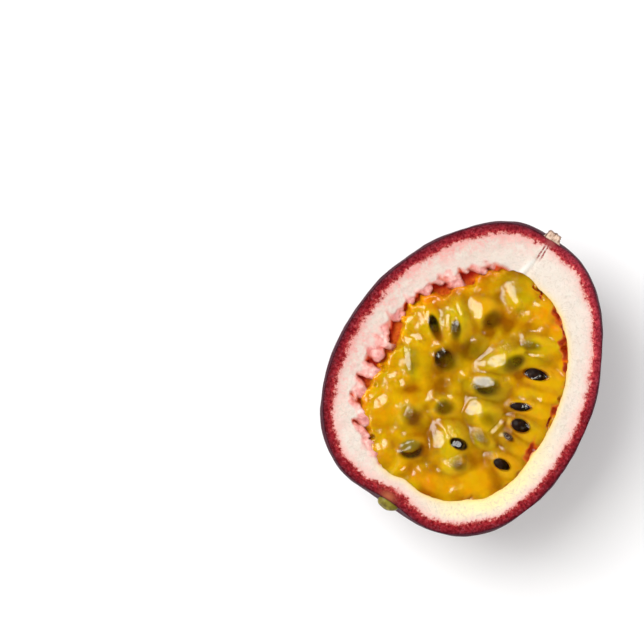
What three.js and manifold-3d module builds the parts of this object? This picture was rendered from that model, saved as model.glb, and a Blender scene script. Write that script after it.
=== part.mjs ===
// Half of a purple passion fruit, cut lengthwise through its stalk and its blossom end.
//
// Millimetres, +Z up. The fruit lies on its skin with the cut face level and up, and +Y points
// to the stalk. Four pieces: the rind (skin and pith in one, with the short pegs that the juice
// sacs hang from), the pulp (a core with the sacs that show fused on), the dry stub of the
// stalk, and the nub that the blossom left.

import * as THREE from 'three';
import { mergeVertices } from 'three/addons/utils/BufferGeometryUtils.js';
import Module from 'manifold-3d';

const wasm = await Module();
wasm.setup();

// ---------------------------------------------------------------------------------------------
// Driving dimensions
// ---------------------------------------------------------------------------------------------

const CUT_HEIGHT = 29;           // the cut face above the surface that the half lies on
const WIDEST_HEIGHT = 25;        // where the skin bulges out most
const CUT_REACH = 0.982;         // the cut face's outline, as a share of the widest outline
const FLAT_SPOT_REACH = 0.21;    // the flat spot it rests on, as a share of the same outline
const WALL_BELOW = 5;            // rind under the middle of the cavity
const GAP = 0.35;                // clearance between pieces that touch
const AXIS_Y = -1.74;            // middle of the cut outline, seen from the middle of the box

// Outlines as a radius round the middle of the cut face: an egg that is longer than wide (oval),
// narrower to the stalk (taper), with full shoulders at the blossom end.
const SKIN_OUTLINE = {
  mean: 29.32, oval: -3.28, lean: -0.2, taper: -0.87, square: 0.13, shoulder: 0.3,
  shiftX: -0.1, shiftY: -0.15,
};
const CAVITY_OUTLINE = {
  mean: 22.07, oval: -2.34, lean: -0.11, taper: -0.5, square: -0.25, shoulder: 0.29,
  shiftX: -0.46, shiftY: -0.96,
};

// The skin is drawn in round the stalk and round the blossom end.
const DENTS = [
  { angle: 90, depth: 1.55, width: 9.5 },
  { angle: 268.5, depth: 3.15, width: 15 },
];
const DENT_HEIGHT = 27;

// Pegs on the wall of the cavity, where the pulp has drawn back from it. Each is a wedge from
// its root in the wall to its tip: both places, the width at both ends, and how far the tip's
// top lies below the cut face.
const PEGS = [
  { root: [-9.4, 22.4], tip: [-7.2, 21.8], wide: 1.8, end: 1.0, drop: 1.5 },
  { root: [-11.4, 20.6], tip: [-7.8, 19.8], wide: 2.4, end: 1.0, drop: 0.9 },
  { root: [-13.2, 18.8], tip: [-11.2, 18.5], wide: 1.8, end: 1.0, drop: 0.8 },
  { root: [-15.6, 16.4], tip: [-10.6, 15.0], wide: 3.6, end: 1.9, drop: 0.8 },
  { root: [-16.8, 13.9], tip: [-14.2, 13.6], wide: 2.0, end: 1.0, drop: 1.0 },
  { root: [-18.9, 11.0], tip: [-15.7, 11.4], wide: 4.2, end: 2.2, drop: 0.6 },
  { root: [-19.6, 8.6], tip: [-17.4, 6.8], wide: 3.0, end: 1.2, drop: 0.6 },
  { root: [-20.4, 4.4], tip: [-17.8, 3.2], wide: 4.2, end: 1.9, drop: 0.6 },
  { root: [-20.2, -0.6], tip: [-17.8, -2.3], wide: 4.0, end: 1.5, drop: 0.8 },
  { root: [-20.3, -4.0], tip: [-16.7, -5.7], wide: 4.2, end: 1.5, drop: 0.7 },
  { root: [-20.1, -9.2], tip: [-14.8, -8.4], wide: 2.8, end: 2.1, drop: 0.9 },
  { root: [-19.6, -12.6], tip: [-15.9, -13.3], wide: 3.4, end: 2.3, drop: 0.8 },
  { root: [-17.2, -16.9], tip: [-12.0, -17.8], wide: 3.0, end: 2.1, drop: 0.9 },
  { root: [-14.4, -20.5], tip: [-11.0, -20.2], wide: 2.6, end: 1.7, drop: 0.7 },
  { root: [-11.8, -22.4], tip: [-9.3, -21.0], wide: 2.8, end: 1.8, drop: 0.6 },
  { root: [-9.2, -23.4], tip: [-7.2, -22.3], wide: 2.8, end: 1.9, drop: 0.5 },
];
// Sections of a peg: place from root to tip, depth of the top and the bottom under the cut face
// as a share of the drop and in mm, and width as a share of the width there.
const PEG_SECTIONS = [
  { at: 0, top: 0.25, bottom: 5.5, width: 1 },
  { at: 0.8, top: 0.75, bottom: 3.8, width: 1 },
  { at: 1.05, top: 1.35, bottom: 3.0, width: 0.6 },
];
const PEG_ROOT = 1.6;            // how far a peg starts inside the wall
const PEG_BEVEL = 0.7;           // the top's width as a share of the peg's

// Juice sacs that show their full outline: middle, length, width, turn of the long axis in
// degrees, and how far the top stands above the cut face.
const SACS = [
  { x: 0.0, y: 19.8, long: 8.2, wide: 7.0, turn: 90, rise: 0.5 },
  { x: -7.3, y: 18.0, long: 7.4, wide: 6.0, turn: 130, rise: -0.4 },
  { x: 6.2, y: 19.6, long: 7.4, wide: 5.4, turn: 75, rise: 0.3 },
  { x: -4.0, y: 13.2, long: 8.8, wide: 6.2, turn: -10, rise: 0.8 },
  { x: 9.0, y: 13.2, long: 9.6, wide: 4.6, turn: 18, rise: 0.8 },
  { x: -7.7, y: 7.9, long: 8.4, wide: 5.0, turn: -60, rise: 1.2 },
  { x: -11.6, y: 5.2, long: 7.8, wide: 4.6, turn: -44, rise: 0.8 },
  { x: -13.3, y: 9.6, long: 6.2, wide: 4.8, turn: -60, rise: 0.0 },
  { x: -5.6, y: 1.0, long: 8.4, wide: 6.2, turn: -16, rise: 0.6 },
  { x: -2.1, y: 6.8, long: 7.8, wide: 5.6, turn: 78, rise: 0.4 },
  { x: 4.4, y: 7.2, long: 8.8, wide: 5.6, turn: 50, rise: 1.3 },
  { x: 13.4, y: 8.1, long: 11.0, wide: 5.2, turn: 14, rise: 0.7 },
  { x: 3.9, y: 0.9, long: 7.8, wide: 5.0, turn: 28, rise: 1.4 },
  { x: 14.2, y: 1.8, long: 10.4, wide: 4.4, turn: 18, rise: 0.6 },
  { x: 15.0, y: -2.4, long: 9.0, wide: 4.4, turn: 8, rise: 0.8 },
  { x: 14.4, y: -6.2, long: 9.0, wide: 4.2, turn: -4, rise: 0.5 },
  { x: 6.6, y: -4.4, long: 7.8, wide: 5.8, turn: -20, rise: 1.2 },
  { x: 8.8, y: -8.7, long: 6.2, wide: 3.8, turn: -15, rise: 0.8 },
  { x: 3.7, y: -12.2, long: 8.4, wide: 6.6, turn: -28, rise: 1.3 },
  { x: 15.2, y: -10.6, long: 8.2, wide: 4.8, turn: 0, rise: 0.6 },
  { x: 6.8, y: -15.8, long: 6.8, wide: 4.4, turn: 30, rise: 0.9 },
  { x: 11.0, y: -17.2, long: 10.5, wide: 7.6, turn: 50, rise: 0.3 },
  { x: -1.0, y: -7.0, long: 7.8, wide: 5.8, turn: 45, rise: 0.7 },
  { x: -6.2, y: -12.0, long: 8.8, wide: 6.8, turn: -20, rise: 0.6 },
  { x: -2.1, y: -17.6, long: 7.8, wide: 5.8, turn: 50, rise: 0.5 },
  { x: -11.9, y: -10.8, long: 9.0, wide: 6.0, turn: 80, rise: 0.5 },
  { x: -11.5, y: -2.4, long: 8.8, wide: 5.8, turn: -62, rise: 0.8 },
  { x: 10.6, y: 17.0, long: 6.6, wide: 4.6, turn: 122, rise: 0.2 },
  { x: 15.4, y: 12.4, long: 5.8, wide: 4.2, turn: 112, rise: 0.2 },
  { x: 4.6, y: -21.2, long: 8.6, wide: 5.4, turn: 4, rise: 0.1 },
  { x: -6.8, y: -20.6, long: 6.6, wide: 5.0, turn: -30, rise: 0.1 },
];
// The rest follow an even spiral, further from the wall on the side where the pulp drew back.
const FILL_SACS = { count: 400, edge: 1.8, long: 6.8, wide: 5.4, spare: 1.4, clear: 1.12, rise: 0.2 };
const PULP_RECESS = { depth: 2.8, angle: 178, width: 62 };
const SAC_DEPTH = 5.4;           // top to bottom of one sac
const CORE_TOP = 0.9;            // top of the core under the cut face
const CORE_SLOPE_REACH = 0.95;   // where its top starts to fall, as a share of the pulp's outline
const CORE_RIM = 1.0;            // depth of its rim under the cut face
const CLEFT_DEPTH = 4.2;         // the pulp at the wall's foot between the pegs, where it drew back
const SAC_SIDES = 8;
const SAC_RINGS = 6;

// The stalk's stub lies in the cut face, so it is cut in half too; the blossom's nub is whole.
// neck, end and point are radii, and neckAt and endAt are places as a share of the length.
const STUB = {
  x: -0.1, root: 31.4, tip: 34.2, neck: 1.25, end: 1.5, point: 1.2, neckAt: 0.45, endAt: 0.9,
};
const NUB = { x: -0.5, y: -29.1, halfX: 2.0, halfY: 1.6, halfZ: 1.7, below: 2.7 };

const AROUND = 60;               // facets round the skin and the cavity
const SKIN_STEPS = 9;            // facets from the flat spot to the widest place
const BOWL_STEPS = 8;            // facets from the middle of the cavity to its rim
const STUB_SIDES = 14;
const NUB_SIDES = 14;
const NUB_RINGS = 9;
const DEGREE = Math.PI / 180;
const GOLDEN_TURN = Math.PI * (3 - Math.sqrt(5));
const RANDOM_SEED = 2024;

// ---------------------------------------------------------------------------------------------
// Helpers
// ---------------------------------------------------------------------------------------------

// Seeded random draws from 0 to 1.
function makeDraw(seed) {
  let state = seed;
  return () => {
    state = (state * 16807) % 2147483647;
    return state / 2147483647;
  };
}

// The turn from one direction to another, from minus half a turn to half a turn.
function turnBetween(angle, other) {
  return Math.atan2(Math.sin(angle - other), Math.cos(angle - other));
}

function outlineRadius(outline, angle) {
  return outline.mean
    + outline.shiftX * Math.cos(angle) + outline.shiftY * Math.sin(angle)
    + outline.oval * Math.cos(2 * angle) + outline.lean * Math.sin(2 * angle)
    + outline.taper * Math.sin(3 * angle) + outline.square * Math.cos(4 * angle)
    + outline.shoulder * Math.sin(5 * angle);
}

// How far the pulp's edge has drawn back from the wall in one direction.
function recessAt(angle) {
  const away = turnBetween(angle, PULP_RECESS.angle * DEGREE) / (PULP_RECESS.width * DEGREE);
  return PULP_RECESS.depth * Math.exp(-away * away);
}

function toSolid(geometry) {
  const plain = geometry.clone();
  plain.deleteAttribute('normal');
  plain.deleteAttribute('uv');
  const merged = mergeVertices(plain, 1e-4);
  return new wasm.Manifold(new wasm.Mesh({
    numProp: 3,
    vertProperties: new Float32Array(merged.attributes.position.array),
    triVerts: new Uint32Array(merged.index.array),
  }));
}

// The largest piece of a solid as a geometry: loose scraps and sealed hollows are dropped.
function toGeometry(solid) {
  const pieces = solid.decompose();
  pieces.sort((a, b) => b.volume() - a.volume());
  const { vertProperties, triVerts } = pieces[0].getMesh();
  const geometry = new THREE.BufferGeometry();
  geometry.setAttribute('position', new THREE.BufferAttribute(new Float32Array(vertProperties), 3));
  geometry.setIndex(new THREE.BufferAttribute(new Uint32Array(triVerts), 1));
  geometry.computeVertexNormals();
  return geometry;
}

// A solid turned round +Z from a profile of (reach, height), where reach 1 is the outline, less
// what it is drawn back by in each direction.
function turnedToOutline(profile, outline, dents = [], drawnBack = () => 0) {
  const geometry = new THREE.LatheGeometry(profile, AROUND);
  geometry.rotateX(Math.PI / 2);
  const position = geometry.attributes.position;
  for (let i = 0; i < position.count; i += 1) {
    const reach = Math.hypot(position.getX(i), position.getY(i));
    const angle = Math.atan2(position.getY(i), position.getX(i));
    const height = position.getZ(i);
    let radius = reach * (outlineRadius(outline, angle) - drawnBack(angle));
    for (const dent of dents) {
      const turn = turnBetween(angle, dent.angle * DEGREE);
      const rise = (height - DENT_HEIGHT) / outline.mean;
      const away = Math.hypot(turn, rise) / (dent.width * DEGREE);
      radius -= reach * dent.depth * Math.exp(-away * away);
    }
    position.setXY(i, radius * Math.cos(angle), radius * Math.sin(angle));
  }
  return toSolid(geometry);
}

// ---------------------------------------------------------------------------------------------
// Rind
// ---------------------------------------------------------------------------------------------

function skinProfile() {
  const startTurn = Math.asin(FLAT_SPOT_REACH);
  const profile = [new THREE.Vector2(0, 0)];
  for (let i = 0; i <= SKIN_STEPS; i += 1) {
    const turn = startTurn + (Math.PI / 2 - startTurn) * (i / SKIN_STEPS);
    const height = WIDEST_HEIGHT * (1 - Math.cos(turn) / Math.cos(startTurn));
    profile.push(new THREE.Vector2(Math.sin(turn), height));
  }
  const halfway = (WIDEST_HEIGHT + CUT_HEIGHT) / 2;
  profile.push(new THREE.Vector2(1 - (1 - CUT_REACH) / 4, halfway));
  profile.push(new THREE.Vector2(CUT_REACH, CUT_HEIGHT));
  profile.push(new THREE.Vector2(0, CUT_HEIGHT));
  return profile;
}

// The bowl that holds the pulp, from its lowest point to its wall at the given height.
function bowlProfile(floorHeight, wallTop) {
  const profile = [new THREE.Vector2(0, floorHeight)];
  for (let i = 1; i <= BOWL_STEPS; i += 1) {
    const turn = (Math.PI / 2) * (i / BOWL_STEPS);
    const height = floorHeight + (CUT_HEIGHT - floorHeight) * (1 - Math.cos(turn));
    if (height < wallTop) {
      profile.push(new THREE.Vector2(Math.sin(turn), height));
    }
  }
  return profile;
}

// A blunt wedge from the wall towards the pulp: the hull of a few six-cornered sections. grow
// widens it all round for the room that the pulp leaves it.
function peg(item, grow = 0) {
  const [rootX, rootY] = item.root;
  const [tipX, tipY] = item.tip;
  const length = Math.hypot(tipX - rootX, tipY - rootY);
  const wayX = (tipX - rootX) / length;
  const wayY = (tipY - rootY) / length;
  const corners = [];
  for (const section of PEG_SECTIONS) {
    const forward = section.at > 0 ? section.at * length + grow : -PEG_ROOT;
    const width = item.wide + (item.end - item.wide) * Math.min(section.at, 1);
    const half = (width * section.width) / 2 + grow;
    const top = CUT_HEIGHT - section.top * item.drop + grow;
    const bottom = CUT_HEIGHT - section.bottom - grow;
    const levels = [[half * PEG_BEVEL, top], [half, (top + bottom) / 2], [half * PEG_BEVEL, bottom]];
    for (const [reach, height] of levels) {
      for (const side of [-reach, reach]) {
        corners.push([
          rootX + wayX * forward - wayY * side,
          rootY + wayY * forward + wayX * side,
          height,
        ]);
      }
    }
  }
  return wasm.Manifold.hull(corners);
}

function makeRind(stub, nub) {
  const skin = turnedToOutline(skinProfile(), SKIN_OUTLINE, DENTS);
  const bowl = bowlProfile(WALL_BELOW, CUT_HEIGHT);
  bowl.push(new THREE.Vector2(1, CUT_HEIGHT));
  bowl.push(new THREE.Vector2(1, CUT_HEIGHT + WALL_BELOW));
  bowl.push(new THREE.Vector2(0, CUT_HEIGHT + WALL_BELOW));
  let rind = skin.subtract(turnedToOutline(bowl, CAVITY_OUTLINE));
  for (const item of PEGS) {
    rind = rind.add(peg(item));
  }
  return toGeometry(rind.subtract(stub).subtract(nub));
}

// ---------------------------------------------------------------------------------------------
// Pulp
// ---------------------------------------------------------------------------------------------

// How far a point is from the middle of a sac, where 1 is the sac's own outline.
function sacDistance(sac, x, y) {
  const turn = sac.turn * DEGREE;
  const along = (x - sac.x) * Math.cos(turn) + (y - sac.y) * Math.sin(turn);
  const across = (y - sac.y) * Math.cos(turn) - (x - sac.x) * Math.sin(turn);
  return Math.hypot(along / (sac.long / 2), across / (sac.wide / 2));
}

// Sacs between the named ones: an even spiral of places, kept where nothing is in the way.
function fillSacs() {
  const draw = makeDraw(RANDOM_SEED);
  const sacs = [...SACS];
  for (let i = 0; i < FILL_SACS.count; i += 1) {
    const share = Math.sqrt((i + 0.5) / FILL_SACS.count);
    const angle = i * GOLDEN_TURN;
    const wall = outlineRadius(CAVITY_OUTLINE, angle);
    const radius = share * (wall - FILL_SACS.edge - recessAt(angle));
    const sac = {
      x: radius * Math.cos(angle),
      y: radius * Math.sin(angle),
      long: FILL_SACS.long + FILL_SACS.spare * draw(),
      wide: FILL_SACS.wide + FILL_SACS.spare * draw() / 2,
      turn: angle / DEGREE,
      rise: FILL_SACS.rise - draw(),
    };
    if (sacs.every((other) => sacDistance(other, sac.x, sac.y) > FILL_SACS.clear)) {
      sacs.push(sac);
    }
  }
  return sacs;
}

function sacSolid(sac) {
  const geometry = new THREE.SphereGeometry(1, SAC_SIDES, SAC_RINGS);
  geometry.rotateX(Math.PI / 2);
  geometry.scale(sac.long / 2, sac.wide / 2, SAC_DEPTH / 2);
  geometry.rotateZ(sac.turn * DEGREE);
  geometry.translate(sac.x, sac.y, CUT_HEIGHT + sac.rise - SAC_DEPTH / 2);
  return toSolid(geometry);
}

// The core in two parts: what fills the bowl up to the foot of the clefts, and the heap on it,
// which reaches the wall on one side and has drawn back from it on the other.
function makeCore(inner, floorHeight) {
  const lower = bowlProfile(floorHeight, CUT_HEIGHT - CLEFT_DEPTH);
  lower.push(new THREE.Vector2(1, CUT_HEIGHT - CLEFT_DEPTH));
  lower.push(new THREE.Vector2(0, CUT_HEIGHT - CLEFT_DEPTH));
  const upper = [
    new THREE.Vector2(0, CUT_HEIGHT - 2 * CLEFT_DEPTH),
    new THREE.Vector2(1, CUT_HEIGHT - 2 * CLEFT_DEPTH),
    new THREE.Vector2(1, CUT_HEIGHT - CORE_RIM),
    new THREE.Vector2(CORE_SLOPE_REACH, CUT_HEIGHT - CORE_TOP),
    new THREE.Vector2(0, CUT_HEIGHT - CORE_TOP),
  ];
  return turnedToOutline(lower, inner).add(turnedToOutline(upper, inner, [], recessAt));
}

function makePulp() {
  const inner = { ...CAVITY_OUTLINE, mean: CAVITY_OUTLINE.mean - GAP };
  const floorHeight = WALL_BELOW + GAP;
  let pulp = makeCore(inner, floorHeight);
  for (const sac of fillSacs()) {
    pulp = pulp.add(sacSolid(sac));
  }

  const roomProfile = bowlProfile(floorHeight, CUT_HEIGHT);
  roomProfile.push(new THREE.Vector2(1, CUT_HEIGHT));
  roomProfile.push(new THREE.Vector2(1, CUT_HEIGHT + WALL_BELOW));
  roomProfile.push(new THREE.Vector2(0, CUT_HEIGHT + WALL_BELOW));
  pulp = pulp.intersect(turnedToOutline(roomProfile, inner));
  for (const item of PEGS) {
    pulp = pulp.subtract(peg(item, GAP));
  }
  return toGeometry(pulp);
}

// ---------------------------------------------------------------------------------------------
// Stalk stub and blossom nub
// ---------------------------------------------------------------------------------------------

// The stub stands along +Y and is cut level with the cut face. grow widens it for its socket.
function stubSolid(grow = 0) {
  const length = STUB.tip - STUB.root + 2 * grow;
  const profile = [
    new THREE.Vector2(0, 0),
    new THREE.Vector2(STUB.end + grow, 0),
    new THREE.Vector2(STUB.neck + grow, length * STUB.neckAt),
    new THREE.Vector2(STUB.end + grow, length * STUB.endAt),
    new THREE.Vector2(STUB.point + grow, length),
    new THREE.Vector2(0, length),
  ];
  const geometry = new THREE.LatheGeometry(profile, STUB_SIDES);
  geometry.translate(STUB.x, STUB.root - grow, CUT_HEIGHT);
  const side = 4 * length;
  const above = new THREE.BoxGeometry(side, side, side);
  above.translate(STUB.x, STUB.root, CUT_HEIGHT + side / 2 + (grow > 0 ? side : 0));
  return toSolid(geometry).subtract(toSolid(above));
}

function nubSolid(grow = 0) {
  const geometry = new THREE.SphereGeometry(1, NUB_SIDES, NUB_RINGS);
  geometry.scale(NUB.halfX + grow, NUB.halfY + grow, NUB.halfZ + grow);
  geometry.translate(NUB.x, NUB.y, CUT_HEIGHT - NUB.below);
  return toSolid(geometry);
}

// ---------------------------------------------------------------------------------------------
// The fruit half
// ---------------------------------------------------------------------------------------------

function piece(name, geometry, colour, roughness) {
  const material = new THREE.MeshStandardMaterial({ color: colour, roughness, metalness: 0 });
  const mesh = new THREE.Mesh(geometry, material);
  mesh.name = name;
  return mesh;
}

const fruit = new THREE.Group();
fruit.add(piece('rind', makeRind(stubSolid(GAP), nubSolid(GAP)), 0x6e2233, 0.55));
fruit.add(piece('pulp', makePulp(), 0xd9a21b, 0.15));
fruit.add(piece('stalk_stub', toGeometry(stubSolid()), 0xb79c7f, 0.85));
fruit.add(piece('blossom_nub', toGeometry(nubSolid()), 0x8f8a2c, 0.5));
fruit.position.y = AXIS_Y;

export default fruit;
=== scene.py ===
# %% [markdown]
# # Half a passion fruit
# A ripe passion fruit is a leathery purple bag with a white lining, filled with clear sacs of
# juice that each hold one seed. This lesson builds one half, cut lengthwise, in millimetres,
# round a CAD model that already fixes its size and its place. The finish is what we add here:
# the grain of the cut rind, the wet jelly with its seeds, and the dry ends of the fruit.

# %% Load the fixed frame
import math

import bpy
import numpy as np
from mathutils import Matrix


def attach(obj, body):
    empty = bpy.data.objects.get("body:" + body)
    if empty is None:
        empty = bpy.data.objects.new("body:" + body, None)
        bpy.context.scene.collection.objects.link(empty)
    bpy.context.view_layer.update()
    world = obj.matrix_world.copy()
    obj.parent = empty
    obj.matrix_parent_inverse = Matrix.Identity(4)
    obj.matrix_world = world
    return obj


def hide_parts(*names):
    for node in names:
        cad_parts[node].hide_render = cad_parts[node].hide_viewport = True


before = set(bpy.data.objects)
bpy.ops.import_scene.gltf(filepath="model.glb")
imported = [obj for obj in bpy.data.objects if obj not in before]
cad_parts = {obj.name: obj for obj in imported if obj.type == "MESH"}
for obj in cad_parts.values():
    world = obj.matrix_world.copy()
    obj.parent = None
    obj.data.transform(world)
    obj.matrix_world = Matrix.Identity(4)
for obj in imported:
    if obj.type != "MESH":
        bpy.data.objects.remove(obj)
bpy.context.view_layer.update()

# %% [markdown]
# ## Sizes
# All sizes are in millimetres and follow the CAD model. The cut face is level at CUT_HEIGHT.
# Both outlines are a radius that changes with direction: a circle, plus a little oval, a little
# taper to the stalk and so on. That is easier to adjust by eye than a list of points.
#
# Three things are not quite the CAD's, on purpose. The skin has a thickness of its own here, the
# dents at both ends are half a millimetre shallower, and the edge of the cavity has small waves.

# %% Sizes shared with the CAD model
MM = 0.001
CUT_HEIGHT = 29.0
WIDEST_HEIGHT = 25.0
CUT_REACH = 0.982
FLAT_SPOT_REACH = 0.21
WALL_BELOW = 5.0
AXIS_Y = -1.74

SKIN_OUTLINE = dict(
    mean=29.32, oval=-3.28, lean=-0.2, taper=-0.87, square=0.13, shoulder=0.3,
    shift_x=-0.1, shift_y=-0.15,
)
CAVITY_OUTLINE = dict(
    mean=22.07, oval=-2.34, lean=-0.11, taper=-0.5, square=-0.25, shoulder=0.29,
    shift_x=-0.46, shift_y=-0.96,
)
DENTS = [dict(angle=90.0, depth=1.05, width=9.5), dict(angle=268.5, depth=2.65, width=15.0)]
DENT_HEIGHT = 27.0
SKIN_THICKNESS = 0.2

# %% Directions and outlines
def outline_radius(outline, angle):
    """Radius of an outline in mm, for directions in radians."""
    return (
        outline["mean"]
        + outline["shift_x"] * np.cos(angle) + outline["shift_y"] * np.sin(angle)
        + outline["oval"] * np.cos(2 * angle) + outline["lean"] * np.sin(2 * angle)
        + outline["taper"] * np.sin(3 * angle) + outline["square"] * np.cos(4 * angle)
        + outline["shoulder"] * np.sin(5 * angle)
    )


def turn_between(angle, other):
    """The turn from one direction to another, from minus half a turn to half a turn."""
    return np.arctan2(np.sin(angle - other), np.cos(angle - other))


def waves_at(angle, waves):
    """Sum of gentle bumps round the fruit: each is (direction, size in mm, width), in degrees."""
    total = np.zeros_like(angle)
    for direction, size, width in waves:
        turn = turn_between(angle, math.radians(direction)) / math.radians(width)
        total = total + size * np.exp(-turn * turn)
    return total


print("skin to the right of the middle, mm:", round(outline_radius(SKIN_OUTLINE, 0.0), 2))

# %% Soft steps and ripples
def smooth_step(low, high, value):
    """0 below low, 1 above high, and an even slope without corners between them."""
    share = np.clip((value - low) / (high - low), 0.0, 1.0)
    return share * share * (3 - 2 * share)


def ripple(points, size, seed, waves=18):
    """Soft unevenness: many sine waves in random directions, about `size` mm long, spread 1."""
    draw = np.random.default_rng(seed)
    direction = draw.normal(size=(waves, 3))
    direction /= np.linalg.norm(direction, axis=1, keepdims=True)
    length = size * draw.uniform(0.65, 1.5, waves)
    phase = draw.uniform(0, 2 * math.pi, waves)
    angle = points @ (direction / length[:, None] * 2 * math.pi).T + phase
    return np.sin(angle).sum(axis=-1) / math.sqrt(waves / 2)


print("a soft step, a quarter of the way up:", smooth_step(0.0, 1.0, 0.25))

# %% Places in rings and on a level
def ring_at(angle, radius, height):
    """Points at a radius in each direction, all at one height or each at its own."""
    level = height + np.zeros_like(radius)
    return np.stack([radius * np.cos(angle), radius * np.sin(angle), level], axis=-1)


def on_level(x, y):
    """Points without height, for unevenness that only changes from place to place."""
    return np.stack([x, y, np.zeros_like(x)], axis=-1)

# %% Edge of the cavity
WALL_WAVES = [(81, -0.5, 9), (269, -0.7, 4.5), (287, 0.35, 8)]


def cavity_wall(angle):
    """Radius of the cavity at the cut, with the small unevenness that the CAD leaves out."""
    radius = outline_radius(CAVITY_OUTLINE, angle)
    place = ring_at(angle, radius, 0.0)
    radius = radius + waves_at(angle, WALL_WAVES)
    return radius + 0.12 * ripple(place, 6.0, seed=3) + 0.02 * ripple(place, 2.5, seed=15)


print("cut face, mm across:", round(2 * CUT_REACH * float(outline_radius(SKIN_OUTLINE, 0.0)), 1))

# %% [markdown]
# ## Meshes from rings
# Nearly every piece here is round in some way, so one helper makes them all: it takes rings of
# points, one above the other, and skins them with quads. Both ends close on a middle point, so
# each piece is a watertight body. Numbers such as "how deep under the skin is this point" are
# stored on the points as named attributes, and the materials read them later.

# %% From rings to points and faces
def loft(rings):
    """Points and faces of a closed body through an array of rings (row, place in ring, xyz)."""
    rows, around = rings.shape[:2]
    index = np.arange(rows * around).reshape(rows, around)
    following = np.roll(index, -1, axis=1)
    quads = np.stack([index[:-1], following[:-1], following[1:], index[1:]], axis=-1)
    first, last = rows * around, rows * around + 1
    faces = quads.reshape(-1, 4).tolist()
    faces += [[first, b, a] for a, b in zip(index[0], following[0])]
    faces += [[last, a, b] for a, b in zip(index[-1], following[-1])]
    ends = np.stack([rings[0].mean(axis=0), rings[-1].mean(axis=0)])
    return np.concatenate([rings.reshape(-1, 3), ends]), faces


def on_ends(values):
    """A value for each ring point, with the two end points' values added after them."""
    return np.concatenate([values.reshape(-1), [values[0].mean(), values[-1].mean()]])


def join_bodies(bodies):
    """Points and faces of one or more lofted bodies as one mesh."""
    points, faces, start = [], [], 0
    for rings in bodies:
        body_points, body_faces = loft(rings)
        points.append(body_points)
        faces += [[corner + start for corner in face] for face in body_faces]
        start += len(body_points)
    return np.concatenate(points), faces

# %% From points and faces to a piece
def make_piece(name, bodies, material, slot, **ring_values):
    """A smooth-shaded object from rings in mm, riding on the fruit, with values on its points."""
    points, faces = join_bodies(bodies)
    mesh = bpy.data.meshes.new(name)
    placed = (points + np.array([0.0, AXIS_Y, 0.0])) * MM
    mesh.from_pydata(placed.tolist(), [], faces)
    mesh.polygons.foreach_set("use_smooth", [True] * len(mesh.polygons))
    for key, values in ring_values.items():
        layer = mesh.attributes.new(key, "FLOAT", "POINT")
        layer.data.foreach_set("value", on_ends(values).astype(np.float32))
    mesh.materials.append(material)
    mesh.update()
    piece = bpy.data.objects.new(name, mesh)
    bpy.context.scene.collection.objects.link(piece)
    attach(piece, "root")
    print(name, len(mesh.vertices), "points,", len(mesh.polygons), "faces")
    return piece


# %% [markdown]
# ## Material helpers
# A material is a small network of nodes. These helpers keep each network short to read: one
# makes a node and sets its sockets by name or links them, and the rest are the few combinations
# that every material here needs. They all work on the network that is on the easel, that of the
# material begun last, so a line of colour work reads like a recipe.

# %% Nodes on the easel
easel = {}


def new_material(name):
    """An empty node material on the easel, with its Principled shader joined to the output."""
    material = bpy.data.materials.new(name)
    material.use_nodes = True
    tree = material.node_tree
    tree.nodes.clear()
    shader = tree.nodes.new("ShaderNodeBsdfPrincipled")
    output = tree.nodes.new("ShaderNodeOutputMaterial")
    tree.links.new(shader.outputs["BSDF"], output.inputs["Surface"])
    easel.update(tree=tree, shader=shader, output=output)
    return material


def fill_socket(socket, value):
    """Links a socket from another one, or sets it, and gives a colour its fourth number."""
    if isinstance(value, bpy.types.NodeSocket):
        easel["tree"].links.new(value, socket)
    elif isinstance(value, tuple) and socket.type == "RGBA":
        socket.default_value = (*value, 1.0)
    else:
        socket.default_value = value


def node(kind, sockets=None, **settings):
    """A node with its settings, and its sockets set from a value or linked from a socket."""
    made = easel["tree"].nodes.new(kind)
    for key, value in settings.items():
        setattr(made, key, value)
    for key, value in (sockets or {}).items():
        fill_socket(made.inputs[key], value)
    return made

# %% Sums and colours
def attribute(name):
    """The value stored on the mesh under that name."""
    return node("ShaderNodeAttribute", attribute_name=name).outputs["Fac"]


def maths(operation, first, second=0.0, third=0.0):
    """One sum on two or three values or sockets."""
    return node("ShaderNodeMath", {0: first, 1: second, 2: third}, operation=operation).outputs[0]


def times(first, second):
    """Two values multiplied."""
    return maths("MULTIPLY", first, second)


def shaken(value, noise_value, size):
    """A value moved up and down by a noise, size being the whole width of the noise."""
    return maths("MULTIPLY_ADD", maths("SUBTRACT", noise_value, 0.5), size, value)


def ramp(value, stops):
    """Colours along a value: stops are (place from 0 to 1, (red, green, blue))."""
    made = node("ShaderNodeValToRGB", {"Fac": value})
    elements = made.color_ramp.elements
    while len(elements) < len(stops):
        elements.new(1.0)
    for element, (place, colour) in zip(elements, stops):
        element.position = place
        element.color = (*colour, 1.0)
    return made.outputs["Color"]


def spread(value, low, high, to_low=0.0, to_high=1.0):
    """A value moved from one range to another, and held inside it."""
    sockets = {"Value": value, "From Min": low, "From Max": high}
    sockets.update({"To Min": to_low, "To Max": to_high})
    return node("ShaderNodeMapRange", sockets).outputs["Result"]


def mix(share, first, second, blend="MIX"):
    """Two colours mixed by a share from 0 to 1."""
    sockets = {0: share, 6: first, 7: second}
    return node("ShaderNodeMix", sockets, data_type="RGBA", blend_type=blend).outputs[2]


def tinted(colour, tint):
    """A colour multiplied by another one."""
    return mix(1.0, colour, tint, "MULTIPLY")

# %% Textures and the shader
def object_place():
    """The place on the object, in metres."""
    return node("ShaderNodeTexCoord").outputs["Object"]


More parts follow.
